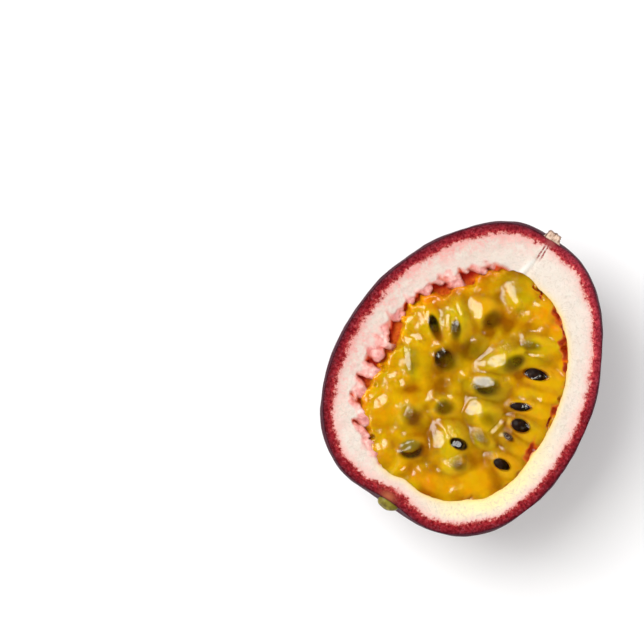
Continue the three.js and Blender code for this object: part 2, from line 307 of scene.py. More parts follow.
def noise(size_mm, detail=3.0, roughness=0.55, distortion=0.0, place=None):
    """Cloudy noise whose blobs are about size_mm across on the object."""
    place = place or object_place()
    sockets = {"Vector": place, "Scale": 1.0 / (size_mm * MM), "Detail": detail}
    sockets.update({"Roughness": roughness, "Distortion": distortion})
    return node("ShaderNodeTexNoise", sockets).outputs["Fac"]


def cells(size_mm):
    """Distance to the nearest of many scattered points, about size_mm apart."""
    sockets = {"Vector": object_place(), "Scale": 1.0 / (size_mm * MM)}
    return node("ShaderNodeTexVoronoi", sockets).outputs["Distance"]


def bump(height, depth_mm):
    """A normal that makes the surface look depth_mm deep where height goes from 0 to 1."""
    return node("ShaderNodeBump", {"Height": height, "Distance": depth_mm * MM}).outputs["Normal"]


def set_shader(**sockets):
    """Sets or links the Principled shader's sockets: Base_Color stands for Base Color."""
    for key, value in sockets.items():
        fill_socket(easel["shader"].inputs[key.replace("_", " ")], value)


# %% [markdown]
# ## The rind
# The rind shows three things at the cut: a skin as thin as paper and nearly black, a maroon
# layer of about two millimetres that looks grainy, and dry white pith. They aren't
# separate bodies, they grade into each other, so one mesh carries all three and each point
# remembers how deep under the skin it lies. The border between maroon and pith is ragged, and
# that is left to noise in the material, which is finer than any mesh we would want to carry.

# %% Rings of the rind
RIND_AROUND = 480
LEFT_DENSITY = 0.30
SKIN_ROWS = 42


def skin_radius(angle, reach, height):
    """Radius of the skin, drawn in at the stalk and the blossom end."""
    radius = reach * (outline_radius(SKIN_OUTLINE, angle) + SKIN_THICKNESS)
    for dent in DENTS:
        turn = turn_between(angle, math.radians(dent["angle"]))
        rise = (height - DENT_HEIGHT) / SKIN_OUTLINE["mean"]
        away = np.hypot(turn, rise) / math.radians(dent["width"])
        radius = radius - reach * dent["depth"] * np.exp(-away * away)
    return radius


def skin_profile(rows):
    """(reach, height) from the flat spot to the widest place and on to the cut edge."""
    start = math.asin(FLAT_SPOT_REACH)
    profile = [(FLAT_SPOT_REACH * share, 0.0) for share in (0.02, 0.25, 0.5, 0.75)]
    for turn in np.linspace(start, math.pi / 2, rows):
        profile.append((math.sin(turn), WIDEST_HEIGHT * (1 - math.cos(turn) / math.cos(start))))
    for share in np.linspace(0, 1, 12)[1:]:
        height = WIDEST_HEIGHT + share * (CUT_HEIGHT - WIDEST_HEIGHT)
        profile.append((1 - (1 - CUT_REACH) * share * share, height))
    return profile


even_turns = np.linspace(0, 2 * math.pi, RIND_AROUND, endpoint=False)
directions = even_turns + LEFT_DENSITY * np.sin(even_turns)
skin_rings = []
for reach, height in skin_profile(SKIN_ROWS):
    skin_rings.append(ring_at(directions, skin_radius(directions, reach, height), height))
skin_rings = np.array(skin_rings)
print("skin rings:", skin_rings.shape)

# %% [markdown]
# The skin isn't a perfect egg: it has shallow hollows a centimetre across, and small ones like
# leather. We push each point a little along its own direction from the middle of the fruit,
# and leave the flat spot and the cut edge as they are.

# %% Uneven skin
middle = np.array([0.0, 0.0, WIDEST_HEIGHT])
outward = skin_rings - middle
outward /= np.linalg.norm(outward, axis=-1, keepdims=True)
keep_flat = smooth_step(0.0, 3.0, skin_rings[..., 2])
keep_edge = 1 - smooth_step(CUT_HEIGHT - 1.5, CUT_HEIGHT, skin_rings[..., 2])
swell = 0.10 * ripple(skin_rings, 13.0, seed=1) + 0.022 * ripple(skin_rings, 3.2, seed=2)
skin_rings = skin_rings + outward * (swell * keep_flat * keep_edge)[..., None]
print("skin moved by up to", float(abs(swell).max().round(2)), "mm")

# %% [markdown]
# Every juice sac hangs from the wall of the cavity by a short peg of white flesh. On the left
# the pulp has drawn back from the wall, so the pegs show: pale wedges that slope down from the
# cut, with dark red clefts between them. They grow out of the pith without a seam, so they are
# not separate bodies: the cut face simply goes on inwards as a height for every place, the
# highest peg where there is one and the bottom of the cleft where there is none.

# %% Pegs: root x, y, tip x, y, width at the root and at the tip, drop at the tip
PEGS = [
    (-9.4, 22.4, -7.2, 21.8, 1.8, 1.0, 1.5),
    (-11.4, 20.6, -7.8, 19.8, 2.4, 1.0, 0.9),
    (-13.2, 18.8, -11.2, 18.5, 1.8, 1.0, 0.8),
    (-15.6, 16.4, -10.6, 15.0, 3.6, 1.9, 0.8),
    (-16.8, 13.9, -14.2, 13.6, 2.0, 1.0, 1.0),
    (-18.9, 11.0, -15.7, 11.4, 4.2, 2.2, 0.6),
    (-19.6, 8.6, -17.4, 6.8, 3.0, 1.2, 0.6),
    (-20.4, 4.4, -17.8, 3.2, 4.2, 1.9, 0.6),
    (-20.2, -0.6, -17.8, -2.3, 4.0, 1.5, 0.8),
    (-17.6, -2.6, -15.8, -2.4, 1.3, 1.4, 1.6),
    (-20.3, -4.0, -16.7, -5.7, 4.2, 1.5, 0.7),
    (-20.1, -9.2, -14.8, -8.4, 2.8, 2.1, 0.9),
    (-19.6, -12.6, -15.9, -13.3, 3.4, 2.3, 0.8),
    (-17.2, -16.9, -12.0, -17.8, 3.0, 2.1, 0.9),
    (-14.4, -20.5, -11.0, -20.2, 2.6, 1.7, 0.7),
    (-11.8, -22.4, -9.3, -21.0, 2.8, 1.8, 0.6),
    (-9.2, -23.4, -7.2, -22.3, 2.8, 1.9, 0.5),
]
print(len(PEGS), "pegs")

# %% Form of one peg
PEG_FULLNESS = 1.12
PEG_CROWN, PEG_SIDE_DROP = 0.20, 2.2


def recess_share(angle):
    """1 on the side where the pulp has drawn back from the wall, 0 on the other."""
    degrees = np.degrees(np.mod(angle, 2 * math.pi))
    return smooth_step(98, 112, degrees) * (1 - smooth_step(244, 258, degrees))


def soft_max(heights, softness):
    """The largest of several heights, with the creases between them rounded."""
    top = heights.max(axis=0)
    return top + softness * np.log(np.exp((heights - top) / softness).sum(axis=0))


def peg_form(peg, x, y):
    """Height of one peg over the cut, and where its side is: 1 at the edge, more beyond it."""
    root_x, root_y, tip_x, tip_y, root_width, tip_width, drop = peg
    place = on_level(x, y) + np.array([0.0, 0.0, root_y])
    x, y = x + 0.15 * ripple(place, 1.7, seed=16), y + 0.15 * ripple(place, 1.7, seed=17)
    length = math.hypot(tip_x - root_x, tip_y - root_y)
    way_x, way_y = (tip_x - root_x) / length, (tip_y - root_y) / length
    along = ((x - root_x) * way_x + (y - root_y) * way_y) / length
    side = (y - root_y) * way_x - (x - root_x) * way_y
    clipped = np.clip(along, 0, 1)
    half_width = PEG_FULLNESS * (root_width + (tip_width - root_width) * clipped) / 2
    past_tip = np.maximum(along - 0.92, 0) * length / (0.38 * tip_width)
    edge = np.hypot(side / half_width, past_tip)
    height = -drop * clipped ** 1.5 - PEG_CROWN * edge ** 2
    return height - PEG_SIDE_DROP * smooth_step(0.85, 1.3, edge), edge


# %% Pegs and clefts together
CLEFT_DEPTH, CLEFT_SLOPE = 2.0, 1.5
PEG_BLEND = 0.12
FRINGE_REACH = 6.5


def fringe(x, y):
    """Height over the cut inside the rim, and 1 where it is a cleft, a peg, a peg's side."""
    angle, radius = np.arctan2(y, x), np.hypot(x, y)
    place = on_level(x, y)
    inward = cavity_wall(angle) - radius + 0.35 * ripple(place, 2.2, seed=8)
    cleft = -CLEFT_DEPTH * smooth_step(-0.2, CLEFT_SLOPE, inward)
    cleft = cleft + 0.10 * ripple(place, 1.8, seed=9) * smooth_step(0.3, 1.2, inward)
    pegs = [peg_form(peg, x, y) for peg in PEGS]
    height = soft_max(np.array([cleft] + [peg[0] for peg in pegs]), PEG_BLEND)
    lumps = 0.07 * ripple(place, 0.9, seed=10) * smooth_step(0.0, 0.8, inward)
    nearest = np.array([peg[1] for peg in pegs]).min(axis=0)
    in_cleft = smooth_step(0.80, 1.15, nearest) * smooth_step(-0.1, 0.5, inward)
    on_peg = smooth_step(-0.5, 0.6, inward) * (1 - in_cleft)
    on_side = on_peg * smooth_step(0.30, 0.90, nearest)
    return np.minimum(height, 0.0) + lumps, in_cleft, on_peg, on_side


print("clefts between the pegs:", CLEFT_DEPTH, "mm deep")

# %% [markdown]
# The cut face runs from the skin to the cavity. A knife leaves it nearly flat. We only round
# the edge at the skin by a tenth of a millimetre, sink the dry pith a little where it meets the
# maroon layer, and draw the fine crease that runs from the stalk to the cavity, with the low
# ridge beside it. Heights and depths of this kind are in millimetres, like everything else.

# %% The cut face
FACE_ROWS = 104
STALK_ANGLE = math.radians(91.4)
EDGE_ROUNDING, RIM_ROUNDING = 0.12, 0.18
PITH_SINK = 0.06
CREASE_DEPTH, CREASE_WIDTH = 0.40, 0.40
CREASE_LEAN, CREASE_FROM_MIDDLE = 0.10, 27
RIDGE_HEIGHT, RIDGE_WIDTH, RIDGE_ASIDE = 0.20, 0.5, 1.0

edge_radius = skin_radius(directions, CUT_REACH, CUT_HEIGHT)
cavity_radius = cavity_wall(directions)
open_side = recess_share(directions)
inner_radius = cavity_radius - FRINGE_REACH * open_side

face_rings, face_depth, face_fringe = [], [], []
for share in np.linspace(0, 1, FACE_ROWS):
    radius = edge_radius + (inner_radius - edge_radius) * share
    depth = edge_radius - radius
    ring = ring_at(directions, radius, CUT_HEIGHT)
    rounded = EDGE_ROUNDING * (1 - smooth_step(0.0, 0.3, depth))
    sunk = PITH_SINK * smooth_step(2.2, 3.4, depth)
    lumps = 0.03 * ripple(ring, 1.1, seed=4) + 0.05 * ripple(ring, 4.5, seed=5)
    side = turn_between(directions, STALK_ANGLE) * radius
    side = side + CREASE_LEAN * (edge_radius - depth - CREASE_FROM_MIDDLE)
    crease = CREASE_DEPTH * np.exp(-(side / CREASE_WIDTH) ** 2) * smooth_step(2.5, 4.5, depth)
    ridge_share = np.exp(-((side - RIDGE_ASIDE) / RIDGE_WIDTH) ** 2)
    ridge = RIDGE_HEIGHT * ridge_share * smooth_step(3.5, 5.5, depth)
    rim = RIM_ROUNDING * smooth_step(-0.9, 0.1, cavity_radius - radius) * (1 - open_side)
    lift = lumps * smooth_step(0.2, 1.0, depth) - rounded - sunk - crease + ridge - rim
    fringe_share = np.minimum(1.0, 8 * open_side)
    fringe_lift, in_cleft, on_peg, on_side = fringe(ring[..., 0], ring[..., 1])
    ring[..., 2] += lift + fringe_lift * fringe_share
    face_rings.append(ring)
    face_depth.append(depth)
    face_fringe.append(np.array([in_cleft, on_peg, on_side]) * fringe_share)
face_rings = np.array(face_rings)
print("cut face from", float(face_rings[..., 2].min()), "to", float(face_rings[..., 2].max()))

# %% The wall of the cavity
WALL_ROWS = 24
wall_rings = []
start_height = face_rings[-1, :, 2]
for turn in np.linspace(math.pi / 2, 0.02, WALL_ROWS + 1)[1:]:
    reach = math.sin(turn)
    height = WALL_BELOW + (start_height - WALL_BELOW) * (1 - math.cos(turn))
    radius = inner_radius * reach
    place = ring_at(directions, radius, height)
    lumps = 0.18 * ripple(place, 2.6, seed=6) + 0.08 * ripple(place, 1.1, seed=7)
    wall_rings.append(ring_at(directions, radius - lumps * smooth_step(0.2, 0.9, reach), height))
wall_rings = np.array(wall_rings)
print("wall of the cavity:", wall_rings.shape)

# %% [markdown]
# Each point now gets its depth under the skin in mm, how far it lies below the cut in the
# clefts and on the wall, and whether it is outside. The maroon layer is thicker at the blossom
# end than at the stalk, so its thickness is an attribute too. The rest are places that have a
# colour of their own: the rosy upper side, the pink blush on the left, the cream side on the
# right, the brown plug under the stalk, the juice along the rim, and the tan spot over the
# blossom nub. One more is a painted highlight: a pale line on the low ridge that runs from the
# plug to the pulp.

# %% Where the pulp ends: direction in degrees, distance from the wall in mm
PULP_EDGE = [
    (98, 0.0), (107, 1.6), (121, 3.4), (135, 3.9), (144, 2.5), (158, 1.9), (167, 2.2), (176, 3.1),
    (184, 4.2), (205, 4.0), (219, 2.7), (228, 1.8), (238, 1.7), (249, 0.7), (260, 0.0),
]


def inside_pulp(x, y):
    """Distance in mm from a place to the edge of the pulp, positive inside."""
    angle, radius = np.arctan2(y, x), np.hypot(x, y)
    degrees = np.degrees(np.mod(angle, 2 * math.pi))
    away, back = np.array(PULP_EDGE).T
    edge = cavity_wall(angle) - np.interp(degrees, away, back, 0.0, 0.0)
    return edge - radius


# %% Attributes of the rind
BAND_WAVES = [(270, 0.65, 22), (0, 0.25, 45), (180, 0.25, 45), (122, 0.28, 26), (232, -0.12, 14)]
BAND_THICKNESS, THINNER_AT_STALK = 1.83, 0.95
DEEP_INSIDE = 12.0

rind_rings = np.concatenate([skin_rings, face_rings, wall_rings])
face_rows = slice(len(skin_rings), len(skin_rings) + FACE_ROWS)
rows_shape = rind_rings.shape[:2]
skin_depth = np.zeros(rows_shape)
skin_depth[face_rows] = np.array(face_depth)
skin_depth[face_rows.stop:] = DEEP_INSIDE
below_cut = CUT_HEIGHT - rind_rings[..., 2]
below_cut[:face_rows.start] = 0.0
cleft, peg, peg_side = np.zeros((3, *rows_shape))
cleft[face_rows], peg[face_rows], peg_side[face_rows] = np.array(face_fringe).swapaxes(0, 1)
cleft[face_rows.stop:] = 1.0
near_cut = smooth_step(17.0, 26.0, rind_rings[..., 2])
outside = np.zeros(rows_shape)
outside[:face_rows.start] = 1.0
face_x, face_y = rind_rings[..., 0], rind_rings[..., 1]
band = BAND_THICKNESS + waves_at(directions, BAND_WAVES)
band = band + 0.12 * ripple(rind_rings, 9.0, seed=19)
at_stalk = smooth_step(28.0, 30.0, face_y)
band = band - THINNER_AT_STALK * np.exp(-((face_x + 0.5) / 1.1) ** 2) * at_stalk
rosy = smooth_step(2.0, 18.0, face_y) * (0.35 + 0.65 * smooth_step(-8.0, 8.0, face_x))
blush = smooth_step(4.0, -14.0, face_x) * (0.35 + 0.65 * smooth_step(-20.0, -10.0, face_y))
cream = smooth_step(2.0, 16.0, face_x) * smooth_step(4.0, -14.0, face_y)
plug = np.exp(-((face_x + 0.05) / 0.95) ** 4)
plug = plug * smooth_step(30.5, 31.7, face_y) * (1 - outside)
# Painted highlight: a pale line on the low ridge beside the crease from the stalk.
from_line = (face_x + 1.9 - 0.24 * (face_y - 24.0)) / (0.3 + 0.08 * (28.0 - face_y))
white_line = 0.7 * np.exp(-from_line ** 2) * smooth_step(28.4, 26.5, face_y) * (face_y > 20.0)
from_rim = np.hypot(face_x, face_y) - cavity_wall(np.arctan2(face_y, face_x))
wet_side = smooth_step(-4.0, 6.0, face_x)
wet_side = wet_side + smooth_step(-17.0, -21.0, face_y) * smooth_step(-9.0, -4.0, face_x)
juice = 0.75 * np.exp(-abs(from_rim) / 0.55) * np.minimum(1.0, wet_side)
by_pulp = smooth_step(1.6, 0.2, -inside_pulp(face_x, face_y)) * (1 - outside)
tan_spot = np.exp(-(((face_x + 1.3) / 1.4) ** 2 + ((face_y + 28.2) / 0.9) ** 2)) * (1 - outside)
print("maroon layer, mm:", band.min().round(2), "to", band.max().round(2))

# %% [markdown]
# ## The finish of the rind
# The depth under the skin, shaken by two sizes of noise, drives a colour ramp from black-purple
# over maroon and pink to the off-white pith. The maroon is grainy because it is made of cells
# full of pigment between pale ones, so a fine noise moves it between dark and light. Outside,
# the skin is plum-coloured with pale pinprick spots, and a satin shine. The pith lets a little
# light in, which takes the hardness off its edges. Two red veins come in from the stalk as thin
# dotted lines. Lines that thin are drawn in the material, where they stay sharp.

# %% Colour of the maroon layer
MAROON_SHARE = 0.4


def cut_rind_colour(share, grain):
    """Colour of the cut rind by depth: the maroon layer ends where share is MAROON_SHARE."""
    colour = ramp(share, [
        (0.0, (0.100, 0.010, 0.018)),
        (0.08, (0.170, 0.008, 0.014)),
        (0.24, (0.260, 0.010, 0.016)),
        (0.34, (0.370, 0.022, 0.026)),
        (0.39, (0.520, 0.110, 0.100)),
        (0.45, (0.680, 0.360, 0.320)),
        (0.54, (0.700, 0.540, 0.480)),
        (0.75, (0.700, 0.630, 0.555)),
    ])
    cell_shades = mix(spread(grain, 0.40, 0.62), (0.52, 0.32, 0.38), (1.20, 1.7, 1.6))
    rosier = tinted(cell_shades, (1.45, 2.4, 2.3))
    cell_shades = mix(attribute("rosy"), cell_shades, rosier)
    bright_cells = spread(noise(0.45, detail=2.0, roughness=0.6), 0.54, 0.72, 0.0, 0.35)
    bright_cells = times(bright_cells, spread(share, 0.40, 0.30))
    cell_shades = mix(bright_cells, cell_shades, (2.0, 11.0, 8.0))
    in_maroon = spread(share, 0.45, 0.36)
    return mix(in_maroon, colour, tinted(colour, cell_shades))

# %% Colour of the pith
def pith_colour(colour, share, ragged):
    """The pith: pink clouds near the maroon layer and on the left, cream on the right."""
    in_pith = spread(share, 0.40, 0.50)
    clouds = spread(ragged, 0.44, 0.58)
    near_skin = spread(share, 1.2, 0.46, 0.15, 1.25)
    blush_share = attribute("blush")
    pink = times(clouds, times(near_skin, in_pith))
    pink = times(pink, spread(blush_share, 0, 1, 0.25, 1.1))
    colour = mix(pink, colour, (0.76, 0.38, 0.35))
    left = spread(blush_share, 0, 1, 0.0, 0.8)
    colour = mix(left, colour, tinted(colour, (0.91, 0.86, 0.86)))
    warm = times(attribute("cream"), spread(share, 0.5, 0.9))
    colour = mix(warm, colour, (0.84, 0.73, 0.42))
    fibres = spread(noise(1.3, detail=5.0, roughness=0.68, distortion=2.5), 0.50, 0.62)
    fibres = times(fibres, spread(share, 0.45, 0.6, 0.0, 0.62))
    colour = mix(fibres, colour, (0.55, 0.47, 0.40))
    # The painted highlight on the ridge beside the crease.
    colour = mix(attribute("white_line"), colour, (0.86, 0.84, 0.80))
    return mix(attribute("juice"), colour, (0.80, 0.56, 0.10))

# %% Colour of the skin
def skin_colour():
    """The leathery outside: dusky plum clouds with pale pinpricks, darker along the cut."""
    spots = spread(cells(0.8), 0.24, 0.10, 0.0, 0.35)
    plum = ramp(noise(7.0, detail=5.0, roughness=0.6), [
        (0.30, (0.050, 0.016, 0.030)),
        (0.50, (0.078, 0.025, 0.044)),
        (0.72, (0.110, 0.038, 0.062)),
    ])
    plum = mix(spots, plum, (0.23, 0.11, 0.14))
    return mix(attribute("near_cut"), plum, (0.060, 0.009, 0.018))

# %% Veins
VEINS_X = (-0.75, -0.12)


def vein_lines():
    """The two dotted red veins that run into the pith from the stalk."""
    split = node("ShaderNodeSeparateXYZ", {"Vector": object_place()}).outputs
    x = times(split["X"], 1 / MM)
    y = maths("MULTIPLY_ADD", split["Y"], 1 / MM, -AXIS_Y)
    wander = maths("MULTIPLY_ADD", noise(1.2), 0.35, -0.17)
    wandering_x = maths("ADD", x, wander)
    lines = 0.0
    for vein_x in VEINS_X:
        away = maths("ABSOLUTE", maths("SUBTRACT", wandering_x, vein_x))
        lines = maths("MAXIMUM", lines, spread(away, 0.24, 0.10))
    dots = spread(noise(0.4, detail=2.0), 0.38, 0.54, 0.45, 1)
    along = times(spread(y, 27.4, 28.6), spread(y, 32.0, 31.2))
    return times(lines, times(dots, along))

# %% Colour of the pegs and clefts
def hollow_colour(colour, below, ragged):
    """The pegs, pale above and rosy at their sides, and the clefts, red, with painted shade
    deeper down.
    """
    blotch = spread(ragged, 0.46, 0.62)
    peg_colour = ramp(noise(2.2, detail=4.0, roughness=0.6, distortion=0.6), [
        (0.36, (0.60, 0.20, 0.19)),
        (0.48, (0.76, 0.34, 0.31)),
        (0.58, (0.83, 0.48, 0.43)),
        (0.68, (0.90, 0.68, 0.62)),
    ])
    colour = mix(times(attribute("peg"), 0.92), colour, peg_colour)
    sides = times(attribute("peg_side"), spread(blotch, 0, 1, 0.25, 0.9))
    colour = mix(sides, colour, (0.66, 0.14, 0.09))
    # Painted shade: the red of the clefts turns darker the deeper they lie under the cut.
    stain = ramp(spread(shaken(below, ragged, 1.6), 0.0, 2.4), [
        (0.10, (0.80, 0.24, 0.15)),
        (0.40, (0.66, 0.07, 0.025)),
        (0.75, (0.38, 0.016, 0.006)),
    ])
    orange_low = times(attribute("by_pulp"), spread(blotch, 0, 1, 1, 0.3))
    stain = mix(orange_low, stain, (0.66, 0.13, 0.012))
    return mix(attribute("cleft"), colour, stain)

# %% The rind itself
def rind_material():
    """One material for the whole rind, steered by the attributes on its points."""
    material = new_material("purple_skin_and_white_pith")
    grain = noise(0.6, detail=4.0, roughness=0.75)
    ragged = noise(2.0, detail=6.0, roughness=0.75)
    depth = attribute("skin_depth")
    deeper = spread(depth, 0.2, 1.6)
    shaking = shaken(shaken(0.0, grain, 1.8), ragged, 3.2)
    shaken_depth = maths("MULTIPLY_ADD", shaking, deeper, depth)
    share = maths("DIVIDE", shaken_depth, times(attribute("band"), 1 / MAROON_SHARE))
    colour = mix(attribute("plug"), cut_rind_colour(share, grain), (0.28, 0.060, 0.060))
    colour = pith_colour(colour, share, ragged)
    colour = mix(attribute("tan_spot"), colour, (0.36, 0.10, 0.045))
    colour = mix(vein_lines(), colour, (0.27, 0.035, 0.04))
    below = attribute("below_cut")
    outer = attribute("outside")
    colour = mix(outer, hollow_colour(colour, below, ragged), skin_colour())
    dry = spread(share, 0.2, 0.6, 0.40, 0.62)
    wet = spread(below, 0.4, 1.6, 0.0, 1.0)
    roughness = mix(wet, dry, (0.22, 0.22, 0.22))
    leather = noise(0.9, detail=4.0, roughness=0.6)
    height = maths("MULTIPLY_ADD", grain, 0.6, times(leather, 0.4))
    set_shader(
        Base_Color=colour, Roughness=mix(outer, roughness, (0.48, 0.48, 0.48)),
        IOR=1.3, Specular_IOR_Level=0.05, Subsurface_Weight=0.15,
        Subsurface_Radius=(1.0, 0.45, 0.3), Subsurface_Scale=0.45 * MM, Normal=bump(height, 0.16),
    )
    return material


rind = make_piece(
    "rind_skin_and_pith", [rind_rings], rind_material(), "rind",
    skin_depth=skin_depth, below_cut=below_cut, outside=outside, band=band, blush=blush,
    cream=cream, rosy=rosy, plug=plug, white_line=white_line, tan_spot=tan_spot, juice=juice,
    by_pulp=by_pulp, cleft=cleft, peg=peg, peg_side=peg_side, near_cut=near_cut,
)
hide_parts("rind")

# %% [markdown]
# ## The heap of juice sacs
# Each seed sits in its own sac of jelly, and the sacs press against each other until only thin
# creases are left between them. From above the heap is a height for every place, so that is
# how we build it: every sac is a dome, and the heap is the highest dome at each place, with
# the creases rounded like liquid. The sacs that can be told apart keep the places they have
# in the CAD model, though three by the left wall rise a little less, and the same rule fills in
# the rest.

# %% The sacs: x, y, length, width, turn in degrees, rise over the cut, how orange it looks
SACS = [
    (0.0, 19.8, 8.2, 7.0, 90, 0.5, 0.25),
    (-7.3, 18.0, 7.4, 6.0, 130, -0.4, 0.75),
    (6.2, 19.6, 7.4, 5.4, 75, 0.3, 0.65),
    (-4.0, 13.2, 8.8, 6.2, -10, 0.8, 0.3),
    (9.0, 13.2, 9.6, 4.6, 18, 0.8, 0.2),
    (-7.7, 7.9, 8.4, 5.0, -60, 1.2, 0.15),
    (-11.6, 5.2, 7.8, 4.6, -44, 0.4, 0.35),
    (-13.3, 9.6, 6.2, 4.8, -60, 0.0, 0.95),
    (-5.6, 1.0, 8.4, 6.2, -16, 0.6, 0.35),
    (-2.1, 6.8, 7.8, 5.6, 78, 0.4, 0.3),
    (4.4, 7.2, 8.8, 5.6, 50, 1.3, 0.1),
    (13.4, 8.1, 11.0, 5.2, 14, 0.7, 0.5),
    (3.9, 0.9, 7.8, 5.0, 28, 1.4, 0.1),
    (14.2, 1.8, 10.4, 4.4, 18, 0.6, 0.45),
    (15.0, -2.4, 9.0, 4.4, 8, 0.8, 0.35),
    (14.4, -6.2, 9.0, 4.2, -4, 0.5, 0.3),
    (6.6, -4.4, 7.8, 5.8, -20, 1.2, 0.1),
    (8.8, -8.7, 6.2, 3.8, -15, 0.8, 0.2),
    (3.7, -12.2, 8.4, 6.6, -28, 1.3, 0.1),
    (15.2, -10.6, 8.2, 4.8, 0, 0.6, 0.45),
    (6.8, -15.8, 6.8, 4.4, 30, 0.9, 0.2),
    (11.0, -17.2, 10.5, 7.6, 50, 0.3, 0.55),
    (-1.0, -7.0, 7.8, 5.8, 45, 0.7, 0.35),
    (-6.2, -12.0, 8.8, 6.8, -20, 0.6, 0.3),
    (-2.1, -17.6, 7.8, 5.8, 50, 0.5, 0.35),
    (-11.9, -10.8, 9.0, 6.0, 80, 0.2, 0.6),
    (-11.5, -2.4, 8.8, 5.8, -62, 0.4, 0.2),
    (10.6, 17.0, 6.6, 4.6, 122, 0.2, 0.6),
    (15.4, 12.4, 5.8, 4.2, 112, 0.2, 0.55),
    (4.6, -21.2, 8.6, 5.4, 4, 0.1, 0.75),
    (-6.8, -20.6, 6.6, 5.0, -30, 0.1, 0.55),
]
print(len(SACS), "named sacs")

# %% More sacs between them
FILL = dict(count=400, edge=1.8, long=6.8, wide=5.4, spare=1.4, clear=1.12, rise=0.2)
PULP_RECESS = dict(depth=2.8, angle=178.0, width=62.0)
GOLDEN_TURN = math.pi * (3 - math.sqrt(5))
RANDOM_SEED = 2024


def seeded_draws(seed):
    """The same draws from 0 to 1 that the CAD model uses."""
    state = seed
    while True:
        state = state * 16807 % 2147483647
        yield state / 2147483647


def sac_distance(sac, x, y):
    """How far a place is from the middle of a sac, where 1 is the sac's outline, and the side."""
    turn = math.radians(sac[4])
    along = ((x - sac[0]) * math.cos(turn) + (y - sac[1]) * math.sin(turn)) / (sac[2] / 2)
    across = ((y - sac[1]) * math.cos(turn) - (x - sac[0]) * math.sin(turn)) / (sac[3] / 2)
    return along, across


def fill_sacs():
    """The named sacs, and more of them on an even spiral wherever nothing is in the way."""
    draws = seeded_draws(RANDOM_SEED)
    sacs = list(SACS)
    for i in range(FILL["count"]):
        share = math.sqrt((i + 0.5) / FILL["count"])
        angle = i * GOLDEN_TURN
        away = float(turn_between(angle, math.radians(PULP_RECESS["angle"])))
        away /= math.radians(PULP_RECESS["width"])
        recess = PULP_RECESS["depth"] * math.exp(-away * away)
        wall = float(cavity_wall(angle))
        radius = share * (wall - FILL["edge"] - recess)
        x, y = radius * math.cos(angle), radius * math.sin(angle)
        length = FILL["long"] + FILL["spare"] * next(draws)
        width = FILL["wide"] + FILL["spare"] * next(draws) / 2
        rise = FILL["rise"] - next(draws)
        orange = 0.30 + 0.25 * (rise < -0.3)
        free = all(math.hypot(*sac_distance(sac, x, y)) > FILL["clear"] for sac in sacs)
        if free:
            sacs.append((x, y, length, width, math.degrees(angle), rise, orange))
    return sacs


sacs = fill_sacs()
print(len(sacs) - len(SACS), "more sacs between them")

# %% [markdown]
# ## Seeds
# The seeds are flat, pitted drops about five millimetres long. Some lie right under the skin
# of their sac and show sharp and black. Others lie deep in the jelly and blur to olive. So
# each seed has, besides its place and size, the thickness of jelly over it.

# %% The seeds: x, y, length, width, turn in degrees, jelly over it and dip to its tip in mm
SEEDS = [
    (-11.2, 5.6, 5.0, 2.1, -42, 0.20, 0.7),
    (-7.1, 7.2, 4.2, 2.1, -58, 0.45, 0.6),
    (-5.7, 0.9, 5.4, 4.2, -18, 0.35, 0.6),
    (-2.0, 12.8, 4.4, 3.4, 65, 0.80, 0.2),
    (-0.8, 21.0, 4.2, 3.2, 0, 2.20, 0.0),
    (-2.4, 6.2, 4.8, 3.8, 75, 1.30, 0.2),
    (7.6, 12.5, 3.8, 2.0, 25, 1.10, 0.2),
    (6.2, 7.6, 4.6, 3.0, 60, 0.85, -0.2),
    (11.2, 8.0, 5.2, 2.4, 19, -0.20, 0.2),
    (4.1, 0.8, 5.4, 3.7, 25, 0.45, 0.35),
    (12.0, 0.9, 4.4, 1.8, 25, -0.15, 0.2),
    (13.9, -2.4, 4.0, 2.8, 10, -0.20, 0.3),
    (13.0, -5.5, 2.6, 1.3, -8, 0.45, 0.1),
    (7.8, -4.6, 3.4, 2.6, 0, 1.50, 0.1),
    (5.2, -11.9, 3.9, 2.3, 8, 0.10, 0.1),
    (14.8, -10.9, 3.7, 2.2, 3, -0.18, 0.3),
    (-0.9, -7.2, 4.2, 3.0, 40, 0.70, 0.3),
    (-5.8, -12.0, 4.8, 3.4, -20, 1.25, 0.1),
    (-2.2, -17.9, 5.0, 3.6, 42, 0.42, 0.1),
    (-11.4, -2.8, 4.4, 3.0, -62, 1.70, 0.0),
    (8.6, -8.6, 3.2, 2.0, -10, 1.20, 0.1),
    (7.4, -15.6, 3.2, 2.0, 20, 1.30, 0.1),
]
SEED_FLATNESS = 0.62


def seed_half_height(seed):
    """Half the seed's thickness, in mm."""
    return SEED_FLATNESS * seed[3] / 2


# %% [markdown]
# ## Heights
# `heap_height` gives the top of the jelly at any place: the domes, joined by a soft maximum,
# over a base level. Towards the wall the jelly sinks: a little on the right, where it still
# clings to the rind, and steeply on the left, where the pulp has drawn back. Over a shallow
# seed the jelly bulges to the shape of the seed.

# %% Gaps between the pulp and the wall: x, y, length, width, turn in degrees
GAPS = [
    (8.7, 20.3, 3.6, 1.7, -40),
    (11.2, 18.4, 3.0, 1.0, -42),
    (12.6, 16.5, 2.8, 1.7, -55),
    (13.9, 14.8, 3.4, 1.7, -54),
    (15.4, 12.5, 2.4, 1.3, -62),
    (18.2, 3.6, 2.6, 1.3, -80),
    (18.5, 1.3, 2.4, 0.9, -85),
    (18.4, -5.6, 4.2, 1.9, -84),
    (3.0, 22.5, 3.4, 0.5, -20),
]
GAP_DEPTH = 1.0
EDGE_LEVEL, EDGE_SLOPE = -1.7, 1.9
CLINGING_LEVEL, CLINGING_SLOPE = -0.25, 1.2


# %% Height of the sacs
SAC_DROP, SAC_ROUNDNESS, SAC_TOP = 1.15, 1.5, 0.32
LEFT_RELIEF = 0.32


